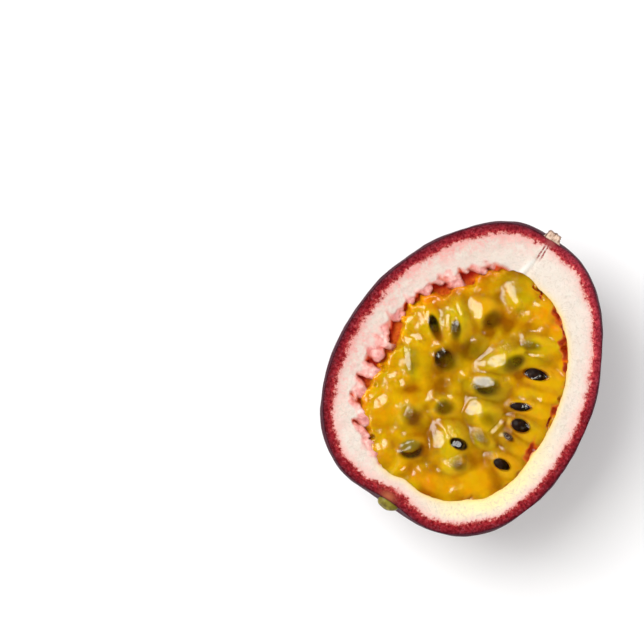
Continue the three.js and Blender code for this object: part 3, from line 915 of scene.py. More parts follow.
def dome_heights(x, y):
    """The height over the cut of every sac's dome, which falls away on all sides."""
    heights = []
    for sac in sacs:
        along, across = sac_distance(sac, x, y)
        across = across / (1 + 0.16 * along)
        away = np.sqrt(along ** 2 + across ** 2 + SAC_TOP ** 2)
        relief = SAC_DROP * (LEFT_RELIEF + (1 - LEFT_RELIEF) * smooth_step(-12.0, -4.0, sac[0]))
        heights.append(sac[5] - relief * np.minimum(away, 3.0) ** SAC_ROUNDNESS)
    return np.array(heights)


def gap_share(x, y):
    """1 in the narrow gaps between the pulp and the wall, 0 away from them."""
    share = np.zeros_like(x)
    place = on_level(x, y)
    x, y = x + 0.22 * ripple(place, 2.2, seed=41), y + 0.22 * ripple(place, 2.2, seed=42)
    for gap in GAPS:
        along, across = sac_distance(gap, x, y)
        share = np.maximum(share, np.exp(-(along * along + across * across) ** 1.5))
    return share

# %% Height of the heap
CREASE, SAC_BLEND = 0.22, 0.30
BASE_LEVEL, BASE_LIFT_LEFT, BASE_TOP, BASE_ORANGE = -0.80, 0.40, 0.3, 0.4


def heap_height(x, y):
    """Height of the jelly over the cut, how orange it is, its depth in a crease, the crease."""
    place = on_level(x, y)
    base = BASE_LEVEL + BASE_LIFT_LEFT * smooth_step(-4.0, -12.0, x)
    base = base + 0.12 * ripple(place, 4.0, seed=13)
    levels = np.concatenate([dome_heights(x, y), base[None]])
    height = soft_max(levels, CREASE)
    weights = np.exp((levels - height) / SAC_BLEND)
    weights = weights / weights.sum(axis=0)
    orange = np.tensordot(np.array([sac[6] for sac in sacs] + [BASE_ORANGE]), weights, axes=1)
    tops = np.array([sac[5] for sac in sacs] + [BASE_TOP])
    valley = np.tensordot(tops, weights, axes=1) - height
    between = 1 - weights.max(axis=0)
    edge = inside_pulp(x, y) + 0.45 * ripple(place, 3.0, seed=14)
    edge = edge + 0.25 * ripple(place, 1.6, seed=43)
    open_side = recess_share(np.arctan2(y, x))
    steep = EDGE_LEVEL + EDGE_SLOPE * edge
    gentle = CLINGING_LEVEL + CLINGING_SLOPE * edge
    height = np.minimum(height, gentle + (steep - gentle) * open_side)
    return height - GAP_DEPTH * gap_share(x, y), orange, valley, between


seed_x, seed_y, seed_cover = np.array(SEEDS)[:, [0, 1, 5]].T
seed_top = heap_height(seed_x, seed_y)[0] - seed_cover
print("seed tops over the cut face, mm:", seed_top.round(2))


# %% [markdown]
# A sac that is pressed against its neighbours isn't a perfect dome: its flank has flat places,
# and it is these that mirror the window as bright patches with a clear outline. Each one is a
# small plane, tilted to the window, that the dome blends into. Where a sac should look smooth
# instead, a calm place does the opposite: its plane is tilted away from the window, and it
# blends in slowly, because a sudden bend would catch the light as a thin line.

# %% Flat flanks: x, y, length, width, turn in degrees, how flat
FLANKS = [
    (-5.4, 12.6, 3.4, 2.0, -55, 1.0), (-1.2, 19.2, 4.6, 1.5, -28, 1.0),
    (3.0, 17.4, 2.4, 1.2, 20, 0.9), (-8.6, 10.9, 2.4, 0.9, -30, 0.8),
    (4.9, 12.8, 1.0, 2.0, 20, 0.8), (9.2, 11.3, 3.6, 0.8, 22, 0.9), (3.2, 6.2, 3.4, 2.4, 50, 1.0),
    (0.4, 6.3, 3.8, 0.8, 72, 0.8), (3.3, 1.6, 4.2, 2.0, 28, 1.0), (-13.2, 2.0, 3.0, 1.0, 10, 0.9),
    (-12.3, -2.8, 4.8, 1.1, -48, 0.9), (-10.8, -7.3, 1.8, 1.1, -30, 0.9),
    (-12.5, -12.9, 3.2, 2.3, 70, 0.8), (-6.6, -11.6, 1.8, 1.6, 30, 0.9),
    (3.9, -4.4, 3.4, 2.2, 80, 1.0), (10.0, -5.0, 3.8, 1.1, 78, 0.9),
    (8.0, -8.3, 3.6, 1.8, -20, 0.8), (1.2, -13.2, 4.2, 2.3, -62, 1.0),
    (3.0, -10.8, 3.2, 1.2, -30, 0.9), (6.7, -15.2, 3.0, 2.2, 55, 0.9),
    (13.3, -8.0, 2.2, 0.6, 0, 0.8), (11.4, -10.6, 2.2, 1.2, 20, 0.7),
    (4.5, -18.5, 1.4, 0.8, -15, 0.8), (-7.4, -20.0, 2.8, 1.6, 50, 0.7),
    (6.7, 4.2, 1.3, 1.0, 40, 0.8), (-9.3, 7.6, 3.0, 0.9, -58, 0.9),
    (-13.2, 6.2, 3.0, 0.6, -56, 0.9), (-1.6, -21.9, 1.4, 1.0, 70, 0.8),
    (11.0, -1.6, 2.2, 0.7, 30, 0.8), (4.9, -12.1, 2.3, 1.5, 12, 1.0),
]
print(len(FLANKS), "flat flanks")

# %% Calm places: x, y, length, width, turn in degrees, how flat
CALM_PLACES = [
    (-10.0, 9.2, 4.6, 3.8, 0, 0.9), (-5.0, 20.4, 4.4, 3.2, 60, 0.9),
    (5.0, 19.3, 3.8, 3.4, 0, 0.9), (9.6, 16.8, 5.0, 3.4, 0, 0.9), (14.2, 12.2, 4.2, 3.4, 90, 0.9),
    (13.2, 4.8, 2.6, 2.4, 0, 0.9), (-3.4, -8.0, 4.6, 2.8, 90, 0.9),
    (-2.2, -3.7, 4.6, 3.2, 80, 0.9), (0.0, -0.6, 3.6, 3.4, 0, 0.9),
    (-4.5, -17.0, 3.4, 2.4, 70, 0.9), (8.3, -18.7, 4.4, 3.0, 55, 0.9),
    (2.3, -21.3, 2.8, 2.6, 0, 0.9), (-6.6, 1.1, 4.4, 4.2, 0, 0.9), (10.1, 3.4, 2.6, 3.0, 0, 0.9),
    (5.7, 15.6, 2.8, 2.2, 30, 0.9), (-2.1, 6.5, 3.4, 3.4, 0, 0.8), (0.9, -17.0, 2.6, 4.0, 0, 0.9),
    (-8.5, 2.0, 2.6, 2.6, 0, 0.9), (-12.8, 9.8, 3.2, 3.0, 0, 0.9),
]
print(len(CALM_PLACES), "calm places")

# %% The heap with its bulges and flat places
SEED_BULGE, SHALLOW_SEED = 0.22, 0.4
# Each kind: its places, the slope of its planes to +X and +Y, and where they start to blend out.
FLAT_KINDS = ((CALM_PLACES, (0.0, 0.34), 0.2), (FLANKS, (0.31, 0.0), 0.8))
FLAT_REACH = 1.5


def with_seed_bulges(x, y):
    """The heap, with the jelly stretched over the seeds that lie right under its surface."""
    height = heap_height(x, y)[0]
    for seed in SEEDS:
        if 0 < seed[5] < SHALLOW_SEED:
            along, across = sac_distance(seed[:5], x, y)
            share = np.clip((along * along + across * across) / 1.9, 0, 1)
            height = height + SEED_BULGE * (1 - share) ** 2
    return height


def with_flanks(x, y):
    """The bulging heap with its flat flanks, each through the height of its own middle."""
    height = with_seed_bulges(x, y)
    for flats, tilt, inner in FLAT_KINDS:
        middles = np.array([flat[:2] for flat in flats])
        levels = with_seed_bulges(middles[:, 0], middles[:, 1])
        for flat, level in zip(flats, levels):
            along, across = sac_distance(flat[:5], x, y)
            away = (along ** 4 + across ** 4) ** 0.25
            plane = level + tilt[0] * (x - flat[0]) + tilt[1] * (y - flat[1])
            share = flat[5] * (1 - smooth_step(inner, FLAT_REACH, away))
            height = height + (plane - height) * share
    return height


print("the planes slope by", [kind[1] for kind in FLAT_KINDS])

# %% [markdown]
# ## Clear and cloudy places
# The jelly is clear right over a shallow seed, where there is hardly any of it, and cloudy
# over a deep one. `seed_window` says how clear the jelly is at a place. Its edge gets softer
# with the depth of the seed, which is what blurs the deep seeds.

# %% Clearness over the seeds
CLOUDY = 0.42
WINDOW_DEPTH = 1.2


def seed_window(x, y):
    """How clear the jelly is over the seeds, and the painted shadow just round them."""
    window, seed_shadow = np.zeros_like(x), np.zeros_like(x)
    for seed in SEEDS:
        along, across = sac_distance(seed[:5], x, y)
        away = np.hypot(along, across)
        over = np.maximum(0.0, seed[5] + seed[6] * np.clip(along + 0.4, 0, 1.4))
        soft = np.minimum(0.75, 0.12 + 0.45 * over)
        inside = 1 - smooth_step(1.0 - soft, 1.05 + 0.6 * soft, away)
        hidden = np.maximum(0.0, over - 0.30)
        window = np.maximum(window, inside * np.exp(-hidden / WINDOW_DEPTH))
        near = 1 - smooth_step(0.9 - soft, 1.25 + 0.5 * soft, away)
        seed_shadow = np.maximum(seed_shadow, near * smooth_step(3.0, 0.8, seed[5]))
    return window, seed_shadow


print("clearness of the jelly away from the seeds:", CLOUDY)

# %% [markdown]
# ## The jelly
# The jelly is one closed body: its top follows the heap, and its edge reaches just into the
# wall of the cavity, so that no air gap shows. It is clear but cloudy, which is why its finish
# mixes two things. Part of the light goes through and loses its blue on the way. The rest is
# scattered in the jelly itself. A thin clear coat on top gives the sharp wet highlights. Along
# its open left edge the sacs are small, so that strip gets low lumps of its own.

# %% Rings of the jelly
JELLY_AROUND, JELLY_ROWS = 480, 150
JELLY_FLOOR = 8.0
UNDERSIDE_REACH = 0.93
INTO_WALL = 0.10


def cavity_grid(around, rows, last_share):
    """Angle, radius, x and y of rings that run from just inside the wall to the middle."""
    ring_directions = np.linspace(0, 2 * math.pi, around, endpoint=False)
    angle, share = np.meshgrid(ring_directions, np.linspace(1.0, last_share, rows))
    radius = (cavity_wall(angle) + INTO_WALL) * share
    return angle, radius, radius * np.cos(angle), radius * np.sin(angle)


angle_grid, radius_grid, jelly_x, jelly_y = cavity_grid(JELLY_AROUND, JELLY_ROWS, 0.004)
jelly_orange, jelly_valley, between_sacs = heap_height(jelly_x, jelly_y)[1:]
jelly_z = with_flanks(jelly_x, jelly_y)
flat_places = on_level(jelly_x, jelly_y)
jelly_z = jelly_z + 0.04 * ripple(flat_places, 3.2, seed=11)
jelly_z = jelly_z + 0.010 * ripple(flat_places, 0.9, seed=12)
from_edge = inside_pulp(jelly_x, jelly_y)
small_sacs = smooth_step(0.2, 1.2, from_edge) * (1 - smooth_step(1.2, 4.5, from_edge))
small_sacs = small_sacs * recess_share(angle_grid)
jelly_z = jelly_z + 0.10 * small_sacs * ripple(flat_places, 2.8, seed=44)
jelly_z = np.maximum(jelly_z, -JELLY_FLOOR + 1)

jelly_top = ring_at(angle_grid, radius_grid, CUT_HEIGHT + jelly_z)
under = [
    ring_at(angle_grid[0], radius_grid[0] * share * UNDERSIDE_REACH, CUT_HEIGHT - JELLY_FLOOR)
    for share in (0.02, 0.5, 0.9, 0.995)
]
jelly_rings = np.concatenate([np.array(under), jelly_top])
print("jelly top over the cut face, mm:", jelly_z.max().round(2))

# %% [markdown]
# The attributes of the jelly: how orange each place is, how much painted shade darkens it
# between the sacs, round the seeds, in the deep places and along the open wall, how red where
# it meets the wall, and how clear it is. Some places get more: a milky skin, painted bluish grey
# under the window's highlights to whiten them, lies over a few sacs, a thin olive veil over two
# seeds, and a wrinkled skin near the seeds, which breaks up what it mirrors.

# %% Places in the jelly: x, y, size, or as a sac's and how strong
# Deep places get painted shade.
DEEP_SHADED_PLACES = [
    (-3.2, -12.8, 2.6), (-4.2, -3.5, 2.4), (0.9, 13.8, 1.5), (9.5, -12.8, 2.2), (-8.5, -7.4, 1.8),
    (-1.4, 10.0, 1.4), (0.2, -16.9, 1.8), (8.5, 5.6, 1.2), (-6.2, -1.8, 2.2), (-5.4, 4.4, 1.8),
    (-9.4, 4.6, 1.4), (13.6, -6.6, 1.8),
]
VEILED_PLACES = [(-2.9, -17.2, 4.6, 2.8, 42, 0.85), (-11.6, -2.6, 5.0, 2.6, -60, 0.45)]
# A milky sac skin, painted bluish grey under the window's highlights to whiten them.
MILKY_HIGHLIGHT_PLACES = [
    (2.9, 1.3, 4.2, 2.4, 28, 0.6), (2.9, 6.0, 3.0, 2.0, 50, 0.3), (3.8, -4.4, 3.0, 1.8, 80, 0.3),
]
WRINKLED_PLACES = [
    (8.4, -8.4, 2.2), (-5.4, -11.6, 1.7), (6.8, -15.2, 2.0), (-7.6, 6.6, 1.4), (2.3, -1.0, 1.0),
    (3.6, 9.4, 1.4), (12.8, -5.0, 1.4), (-2.0, -6.4, 1.2), (1.6, 16.4, 1.6), (-11.8, 12.0, 1.4),
    (3.2, -10.2, 1.5), (-6.0, 20.6, 1.2), (12.2, -2.6, 1.5), (12.6, -10.4, 1.5), (10.2, 0.2, 1.2),
    (13.6, 9.4, 1.0), (13.6, 2.4, 0.9), (15.6, -1.0, 1.0), (6.6, 12.6, 1.2),
]


def round_spots(spots, sharpness):
    """1 in the middle of spots given as x, y and size, fading to 0 round them."""
    share = np.zeros_like(jelly_x)
    for x, y, size in spots:
        away = ((jelly_x - x) ** 2 + (jelly_y - y) ** 2) / size ** 2
        share = np.maximum(share, np.exp(-away ** sharpness))
    return share


def oval_spots(spots, outer):
    """As strong as each spot's last number says, where the others are those of a sac."""
    share = np.zeros_like(jelly_x)
    for spot in spots:
        away = np.hypot(*sac_distance(spot[:5], jelly_x, jelly_y))
        share = np.maximum(share, spot[5] * (1 - smooth_step(0.6, outer, away)))
    return share


def under_rows(top_values, value):
    """A top value for each ring point, with one value for the rows underneath."""
    return np.concatenate([np.full((len(under), JELLY_AROUND), value), top_values])


# %% Light and dark in the jelly
CLEAREST = 0.99
VALLEY_SHADE, SEED_SHADOW_SHADE, DEEP_SHADE, CREASE_SHADE = 0.65, 0.60, 0.75, 0.24
STREAK_SHADE, STREAK_FINENESS, WALL_SHADE = 0.14, 12.0, 0.35

# Painted shade: darker in the creases between the sacs, round the seeds, in the deep places and
# along the open wall. The streaks are fibres of the sacs.
window, seed_shadow = seed_window(jelly_x, jelly_y)
shade = VALLEY_SHADE * smooth_step(0.35, 1.5, jelly_valley) + SEED_SHADOW_SHADE * seed_shadow
shade = shade + DEEP_SHADE * round_spots(DEEP_SHADED_PLACES, 1)
shade = shade + CREASE_SHADE * smooth_step(0.10, 0.55, between_sacs)
from_middle = np.hypot(jelly_x, jelly_y)
streaks = ring_at(angle_grid, np.full_like(angle_grid, STREAK_FINENESS), 0.15 * from_middle)
streaks = ripple(streaks, 1.8, seed=18) * smooth_step(7.0, 13.0, from_middle)
near_wall = (1 - smooth_step(0.0, 1.8, from_edge)) * recess_share(angle_grid)
shade = shade + STREAK_SHADE * streaks + WALL_SHADE * near_wall
jelly_orange = jelly_orange + 0.35 * near_wall
wrinkled = round_spots(WRINKLED_PLACES, 2)
milky = oval_spots(MILKY_HIGHLIGHT_PLACES, 1.2)
veil = oval_spots(VEILED_PLACES, 1.15)
clear = (CLOUDY + (CLEAREST - CLOUDY) * window) * (1 - 0.85 * near_wall) * (1 - milky)
clear = clear * (1 - 0.75 * veil)
red = np.maximum(gap_share(jelly_x, jelly_y), 0.14 * near_wall)
print("clearness from", float(clear.min().round(2)), "to", float(clear.max().round(2)))

# %% Jelly material
JELLY_TINT = (1.0, 0.90, 0.18)
JELLY_DENSITY = 220.0


def jelly_material():
    """Clear and cloudy at once: part of the light goes through, the rest scatters in it."""
    material = new_material("cloudy_yellow_jelly")
    tint = shaken(attribute("orange"), noise(3.5), 1.1)
    colour = ramp(tint, [
        (0.05, (0.78, 0.58, 0.003)),
        (0.35, (0.93, 0.58, 0.003)),
        (0.65, (0.97, 0.47, 0.002)),
        (0.95, (0.96, 0.35, 0.002)),
    ])
    mottle = maths("SUBTRACT", noise(1.6, detail=4.0, roughness=0.6), 0.5)
    shade_value = maths("MULTIPLY_ADD", mottle, 0.7, attribute("shade"))
    shaded = tinted(colour, (0.48, 0.30, 0.20))
    colour = mix(spread(shade_value, 0.05, 1.0), colour, shaded)
    red = attribute("red")
    gap_colour = ramp(maths("MULTIPLY_ADD", mottle, 0.8, red), [
        (0.25, (0.92, 0.32, 0.006)),
        (0.52, (0.86, 0.16, 0.010)),
        (0.92, (0.48, 0.030, 0.006)),
    ])
    colour = mix(spread(red, 0.12, 0.32), colour, gap_colour)
    veiled = times(attribute("veil"), spread(mottle, -0.2, 0.1, 0.8, 1))
    colour = mix(veiled, colour, (0.20, 0.17, 0.016))
    # Painted highlight: the milky sac skin turns the jelly bluish grey under the window's
    # highlights.
    milk = times(attribute("milky"), spread(mottle, -0.10, 0.05, 0.5, 1))
    colour = mix(milk, colour, (0.24, 0.28, 0.25))
    clearness = attribute("clear")
    folds = noise(1.0, detail=4.0, roughness=0.65)
    folds = times(folds, spread(attribute("wrinkled"), 0, 1, 0.07, 1))
    ripples = bump(folds, 0.40)
    set_shader(
        Base_Color=colour, Roughness=spread(clearness, 0.5, 0.95, 0.22, 0.04),
        IOR=1.14, Transmission_Weight=clearness, Subsurface_Weight=0.7,
        Subsurface_Radius=(1.0, 0.55, 0.10), Subsurface_Scale=1.1 * MM,
        Coat_Weight=1.0, Coat_Roughness=0.12, Coat_IOR=1.5, Coat_Normal=ripples, Normal=ripples,
    )
    absorb = node("ShaderNodeVolumeAbsorption", {"Color": JELLY_TINT, "Density": JELLY_DENSITY})
    fill_socket(easel["output"].inputs["Volume"], absorb.outputs["Volume"])
    return material

# %% The jelly itself
jelly = make_piece(
    "pulp_juice_sacs", [jelly_rings], jelly_material(), "pulp",
    orange=under_rows(jelly_orange, 0.7), shade=under_rows(shade, 1.0),
    red=under_rows(red, 0.0), clear=under_rows(clear, CLOUDY),
    wrinkled=under_rows(wrinkled, 0.0), milky=under_rows(milky, 0.0), veil=under_rows(veil, 0.0),
)
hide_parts("pulp")

# %% [markdown]
# ## The core under the jelly
# Deeper down the sacs run together into an amber mass that no light gets through. Without it
# the wall of the cavity would show through the clear jelly. So a simple opaque body fills the
# cavity from its floor to about five millimetres under the cut face.

# %% The core
CORE_AROUND, CORE_ROWS = 240, 90
CORE_UNDER_ROWS, CORE_UNDER_REACH = 14, 0.97
CORE_LEVEL, CORE_EDGE_LEVEL = 4.6, 5.2

core_angle, core_radius, core_x, core_y = cavity_grid(CORE_AROUND, CORE_ROWS, 0.01)
core_from_edge = inside_pulp(core_x, core_y)
sunk_share = recess_share(core_angle) * (1 - smooth_step(0.0, 2.0, core_from_edge))
core_z = CUT_HEIGHT - CORE_LEVEL - (CORE_EDGE_LEVEL - CORE_LEVEL) * sunk_share
core_z = core_z + 0.3 * ripple(on_level(core_x, core_y), 3.0, seed=21)
core_under = []
for turn in np.linspace(0.05, math.pi / 2 * 0.8, CORE_UNDER_ROWS):
    level = WALL_BELOW + (CUT_HEIGHT - JELLY_FLOOR - WALL_BELOW) * (1 - math.cos(turn))
    radius = cavity_wall(core_angle[0]) * math.sin(turn) * CORE_UNDER_REACH
    core_under.append(ring_at(core_angle[0], radius, level))
core_rings = np.concatenate([np.array(core_under), ring_at(core_angle, core_radius, core_z)])
core_near_wall = 1 - smooth_step(0.3, 3.0, core_from_edge)
stain_top = core_near_wall * (0.15 + 0.85 * recess_share(core_angle))
stain = np.concatenate([np.zeros((len(core_under), CORE_AROUND)), stain_top])

# %% The core itself
def core_material():
    """Amber, and redder where it nears the wall."""
    material = new_material("amber_core")
    colour = ramp(shaken(attribute("stain"), noise(2.0, detail=4.0), 0.35), [
        (0.0, (0.98, 0.66, 0.04)),
        (0.25, (0.95, 0.48, 0.02)),
        (0.5, (0.75, 0.16, 0.01)),
        (0.8, (0.45, 0.03, 0.01)),
    ])
    set_shader(Base_Color=colour, Roughness=0.35, IOR=1.2, Normal=bump(noise(0.9), 0.1))
    return material


core = make_piece("pulp_core", [core_rings], core_material(), "pulp", stain=stain)
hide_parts("pulp")

# %% [markdown]
# ## Making the seeds
# A seed is a flattened drop: rounder at one end, drawn to a blunt point at the other, with
# rows of small pits like a thimble. Each is a stack of rings along its own length, pushed in
# where a pit falls. They are black-brown and shiny, and all of them go in one mesh.

# %% Form of a seed
SEED_ROWS, SEED_AROUND = 26, 32
SEED_BLUNTNESS, SEED_POINT = 0.72, 0.14
PIT_DEPTH, LUMP_HEIGHT = 0.06, 0.05


def seed_body(seed, top, number):
    """Rings of one seed, in place."""
    x, y, long, wide, turn, cover, dip = seed
    half_height = seed_half_height(seed)
    grow = 1 + 0.2 * min(1.0, cover)
    spine = np.cos(np.linspace(math.pi - 0.12, 0.12, SEED_ROWS))
    around = np.linspace(0, 2 * math.pi, SEED_AROUND, endpoint=False)
    girth = (1 - spine ** 2) ** SEED_BLUNTNESS * (1 - SEED_POINT * spine)
    along = np.repeat(spine[:, None], SEED_AROUND, axis=1)
    across = girth[:, None] * np.cos(around)
    upward = girth[:, None] * np.sin(around)
    unit = np.stack([along, across, upward], axis=-1)
    pits = np.clip(ripple(unit * 2.5 + number, 0.85, seed=31), 0, 2)
    lumps = ripple(unit + 3.0 * number, 1.6, seed=32)
    unit = unit * (1 - PIT_DEPTH * pits + LUMP_HEIGHT * lumps)[..., None]
    local = unit * np.array([grow * long / 2, grow * wide / 2, half_height])
    local[..., 2] -= dip * np.clip(unit[..., 0] + 0.4, 0, 1.4)
    angle = math.radians(turn)
    placed_x = x + local[..., 0] * math.cos(angle) - local[..., 1] * math.sin(angle)
    placed_y = y + local[..., 0] * math.sin(angle) + local[..., 1] * math.cos(angle)
    placed_z = CUT_HEIGHT + top - half_height + local[..., 2]
    return np.stack([placed_x, placed_y, placed_z], axis=-1)

# %% The seeds themselves
def seed_material():
    """Black-brown and shiny, a little lighter in patches."""
    material = new_material("black_brown_seed")
    colour = ramp(noise(0.8), [
        (0.35, (0.007, 0.002, 0.001)),
        (0.62, (0.022, 0.007, 0.002)),
        (0.78, (0.066, 0.028, 0.006)),
    ])
    set_shader(
        Base_Color=colour, Roughness=0.42, IOR=1.35, Specular_IOR_Level=0.3,
        Normal=bump(noise(0.45), 0.08),
    )
    return material


seed_bodies = [seed_body(s, top, i) for i, (s, top) in enumerate(zip(SEEDS, seed_top))]
make_piece("seeds", seed_bodies, seed_material(), "seed")

# %% [markdown]
# ## The two ends
# At the top, the knife went through the dry stub of the stalk. It widens to the fruit, frays
# where it broke off the vine, and is darker along its edges. At the other end sits a small
# olive nub, the rest of the flower. The stub is a row of half-round sections, round below and
# level with the cut on top. The nub is a ball, made a little boxy and a little uneven.

# %% Stalk stub
STUB_ROWS, STUB_AROUND = 26, 36
STUB_ROOT, STUB_TIP, STUB_MIDDLE = 32.45, 34.1, -0.2
STUB_RADIUS, STUB_FLARE = 1.40, 0.55
STUB_BELOW_CUT, STUB_ROUNDNESS, STUB_UNEVENNESS = 0.12, 1.05, 0.08
FIBRE_SQUEEZE = (1.0, 0.22, 1.0)

stub_turns = np.linspace(0, 2 * math.pi, STUB_AROUND, endpoint=False)
tip_to_root = np.linspace(1, 0, STUB_ROWS)
stub_rings = []
for share in tip_to_root:
    y = STUB_ROOT + (STUB_TIP - STUB_ROOT) * share
    radius = STUB_RADIUS + STUB_FLARE * (1 - share) ** 2
    x = STUB_MIDDLE + radius * np.cos(stub_turns)
    depth = radius * STUB_ROUNDNESS
    cut_level = STUB_UNEVENNESS * np.cos(stub_turns * 3) * depth - 0.02
    z = CUT_HEIGHT - STUB_BELOW_CUT + np.minimum(depth * np.sin(stub_turns), cut_level)
    stub_rings.append(np.stack([x, np.full_like(x, y), z], axis=-1))
stub_rings = np.array(stub_rings)
frayed = (tip_to_root > 0.9)[:, None]
stub_rings[..., 1] += 0.12 * ripple(stub_rings, 0.9, seed=51) * frayed
stub_rings = stub_rings + 0.05 * ripple(stub_rings, 0.7, seed=52)[..., None] * np.array([1, 0, 1])

# %% The stub itself
def stub_material():
    """Dry tan wood: a noise squeezed across the stalk looks like fibres along it."""
    material = new_material("dry_stalk")
    squeezed = node("ShaderNodeMapping", {"Vector": object_place(), "Scale": FIBRE_SQUEEZE})
    fibre = noise(0.28, detail=4.0, roughness=0.5, place=squeezed.outputs["Vector"])
    colour = ramp(fibre, [
        (0.34, (0.12, 0.05, 0.035)),
        (0.46, (0.48, 0.30, 0.21)),
        (0.62, (0.74, 0.55, 0.42)),
    ])
    colour = mix(attribute("weathered"), colour, (0.10, 0.05, 0.035))
    set_shader(Base_Color=colour, Roughness=0.7, Normal=bump(fibre, 0.12))
    return material


# The stub is painted darker along its sides and at its frayed end.
stub_side = smooth_step(0.75, 1.0, abs(stub_rings[..., 0] - STUB_MIDDLE) / 1.45)
stub_end = smooth_step(33.75, 34.1, stub_rings[..., 1])
weathered = 0.7 * np.maximum(stub_side * smooth_step(32.6, 33.0, stub_rings[..., 1]), stub_end)
stub = make_piece("stalk_stub_fine", [stub_rings], stub_material(), "stalk", weathered=weathered)
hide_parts("stalk_stub")

# %% Blossom nub
NUB_MIDDLE = (-0.5, -29.1, 27.0)
NUB_HALF = (2.05, 1.65, 1.6)
NUB_BOXINESS = 0.78

nub_turns, nub_rise = np.meshgrid(
    np.linspace(0, 2 * math.pi, 48, endpoint=False), np.linspace(-1.5, 1.5, 32),
)
nub_unit = ring_at(nub_turns, np.cos(nub_rise), np.sin(nub_rise))
nub_unit = np.sign(nub_unit) * np.abs(nub_unit) ** NUB_BOXINESS
nub_unit = nub_unit * (1 + 0.045 * ripple(nub_unit, 1.4, seed=61)[..., None])
nub_rings = nub_unit * np.array(NUB_HALF) + np.array(NUB_MIDDLE)


def nub_material():
    """Olive green, clouded, and half matt."""
    material = new_material("olive_nub")
    colour = ramp(noise(1.5), [
        (0.30, (0.06, 0.04, 0.004)),
        (0.48, (0.18, 0.14, 0.006)),
        (0.70, (0.31, 0.27, 0.012)),
    ])
    set_shader(Base_Color=colour, Roughness=0.45, Normal=bump(noise(0.6), 0.12))
    return material


nub = make_piece("blossom_nub_fine", [nub_rings], nub_material(), "blossom")
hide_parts("blossom_nub")

# %% [markdown]
# ## Setting the stage
# The fruit lies on white, lit by one large soft light from the left and by white surroundings.
# The camera looks straight down from a point beside the fruit, as it does over a still life
# with several fruits, and its long lens keeps the sides of the fruit out of sight.

# %% Floor
FLOOR_SIZE = 4.0


def floor_material():
    """White, with clouds so faint that they only keep it from looking drawn."""
    material = new_material("white_table")
    colour = ramp(noise(60.0), [(0.4, (0.88, 0.88, 0.89)), (0.6, (0.90, 0.90, 0.90))])
    set_shader(Base_Color=colour, Roughness=0.6, Specular_IOR_Level=0.1)
    return material


floor_mesh = bpy.data.meshes.new("floor")
half = FLOOR_SIZE / 2
floor_mesh.from_pydata(
    [(-half, -half, 0), (half, -half, 0), (half, half, 0), (-half, half, 0)], [], [(0, 1, 2, 3)],
)
floor_mesh.materials.append(floor_material())
floor = bpy.data.objects.new("floor", floor_mesh)
bpy.context.scene.collection.objects.link(floor)
print("floor, m:", FLOOR_SIZE)

# %% [markdown]
# Wet things look wet because of what they mirror. A room that is white all round would put a
# milky veil on the jelly. So the room is white low down, where it lights the table and the
# sides of the fruit, and dark overhead, where the jelly mirrors it. What the fruit mirrors is
# dimmed once more, so that only the window makes highlights.

# %% Room
ROOM_LIGHT = 1.45
ROOM_DARK_ABOVE = 0.05
DARK_FROM, DARK_TO = 0.60, 0.86
MIRRORED_SHARE = 0.04

world = bpy.data.worlds.new("white_room")
bpy.context.scene.world = world
world.use_nodes = True
easel["tree"] = world.node_tree
background = world.node_tree.nodes["Background"]
direction = node("ShaderNodeTexCoord").outputs["Generated"]
upward = node("ShaderNodeSeparateXYZ", {"Vector": direction}).outputs["Z"]
brightness = spread(upward, DARK_FROM, DARK_TO, ROOM_LIGHT, ROOM_DARK_ABOVE)
mirrored = node("ShaderNodeLightPath").outputs["Is Glossy Ray"]
brightness = times(brightness, spread(mirrored, 0, 1, 1.0, MIRRORED_SHARE))
fill_socket(background.inputs["Strength"], brightness)
fill_socket(background.inputs["Color"], (1.0, 0.985, 0.97))
print("room light:", ROOM_LIGHT, "low down,", ROOM_DARK_ABOVE, "overhead")

# %% [markdown]
# The main light is a window: a large rectangle, high up on the left. A wider and weaker light
# just behind it gives its reflection a soft border, as a window frame does.

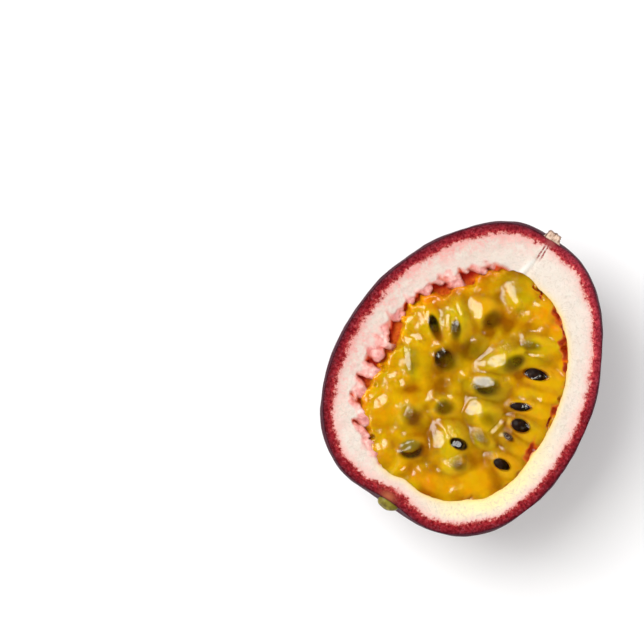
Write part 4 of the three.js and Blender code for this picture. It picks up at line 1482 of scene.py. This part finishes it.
# %% Softbox
KEY_AZIMUTH, KEY_ELEVATION, KEY_DISTANCE = 178.0, 57.0, 1.6
KEY_WIDTH, KEY_HEIGHT, KEY_WATTS = 0.8, 0.95, 17.0
GLOW_SIZE, GLOW_WATTS, GLOW_DISTANCE = 1.5, 4.0, 1.02 * KEY_DISTANCE


def add_softbox(name, distance, width, height, watts):
    """A rectangular area light in the window's direction, that faces the fruit."""
    light = bpy.data.lights.new(name, "AREA")
    light.shape = "RECTANGLE"
    light.size, light.size_y = width, height
    light.energy = watts
    lamp = bpy.data.objects.new(name, light)
    azimuth, elevation = math.radians(KEY_AZIMUTH), math.radians(KEY_ELEVATION)
    lamp.location = (
        distance * math.cos(azimuth) * math.cos(elevation),
        distance * math.sin(azimuth) * math.cos(elevation),
        CUT_HEIGHT * MM + distance * math.sin(elevation),
    )
    lamp.rotation_mode = "QUATERNION"
    lamp.rotation_quaternion = lamp.location.to_track_quat("Z", "Y")
    bpy.context.scene.collection.objects.link(lamp)
    print(name, watts, "watts,", width, "by", height, "m")


add_softbox("window", KEY_DISTANCE, KEY_WIDTH, KEY_HEIGHT, KEY_WATTS)
add_softbox("window_glow", GLOW_DISTANCE, GLOW_SIZE, GLOW_SIZE, GLOW_WATTS)

# %% Camera
CAMERA_X, CAMERA_Y = -30.8, -5.4
CAMERA_ABOVE_CUT = 600.0
CAMERA_TURN = 31.5
FRAME_WIDTH = 128.8

camera_data = bpy.data.cameras.new("camera")
camera_data.sensor_width = 36.0
camera_data.lens = camera_data.sensor_width * CAMERA_ABOVE_CUT / FRAME_WIDTH
camera_data.clip_start = 0.01
camera = bpy.data.objects.new("camera", camera_data)
camera.location = (
    CAMERA_X * MM, (CAMERA_Y + AXIS_Y) * MM, (CUT_HEIGHT + CAMERA_ABOVE_CUT) * MM,
)
camera.rotation_euler = (0.0, 0.0, math.radians(CAMERA_TURN))
bpy.context.scene.collection.objects.link(camera)
bpy.context.scene.camera = camera
bpy.context.scene.view_settings.view_transform = "Standard"
print("focal length, mm:", round(camera_data.lens, 1))
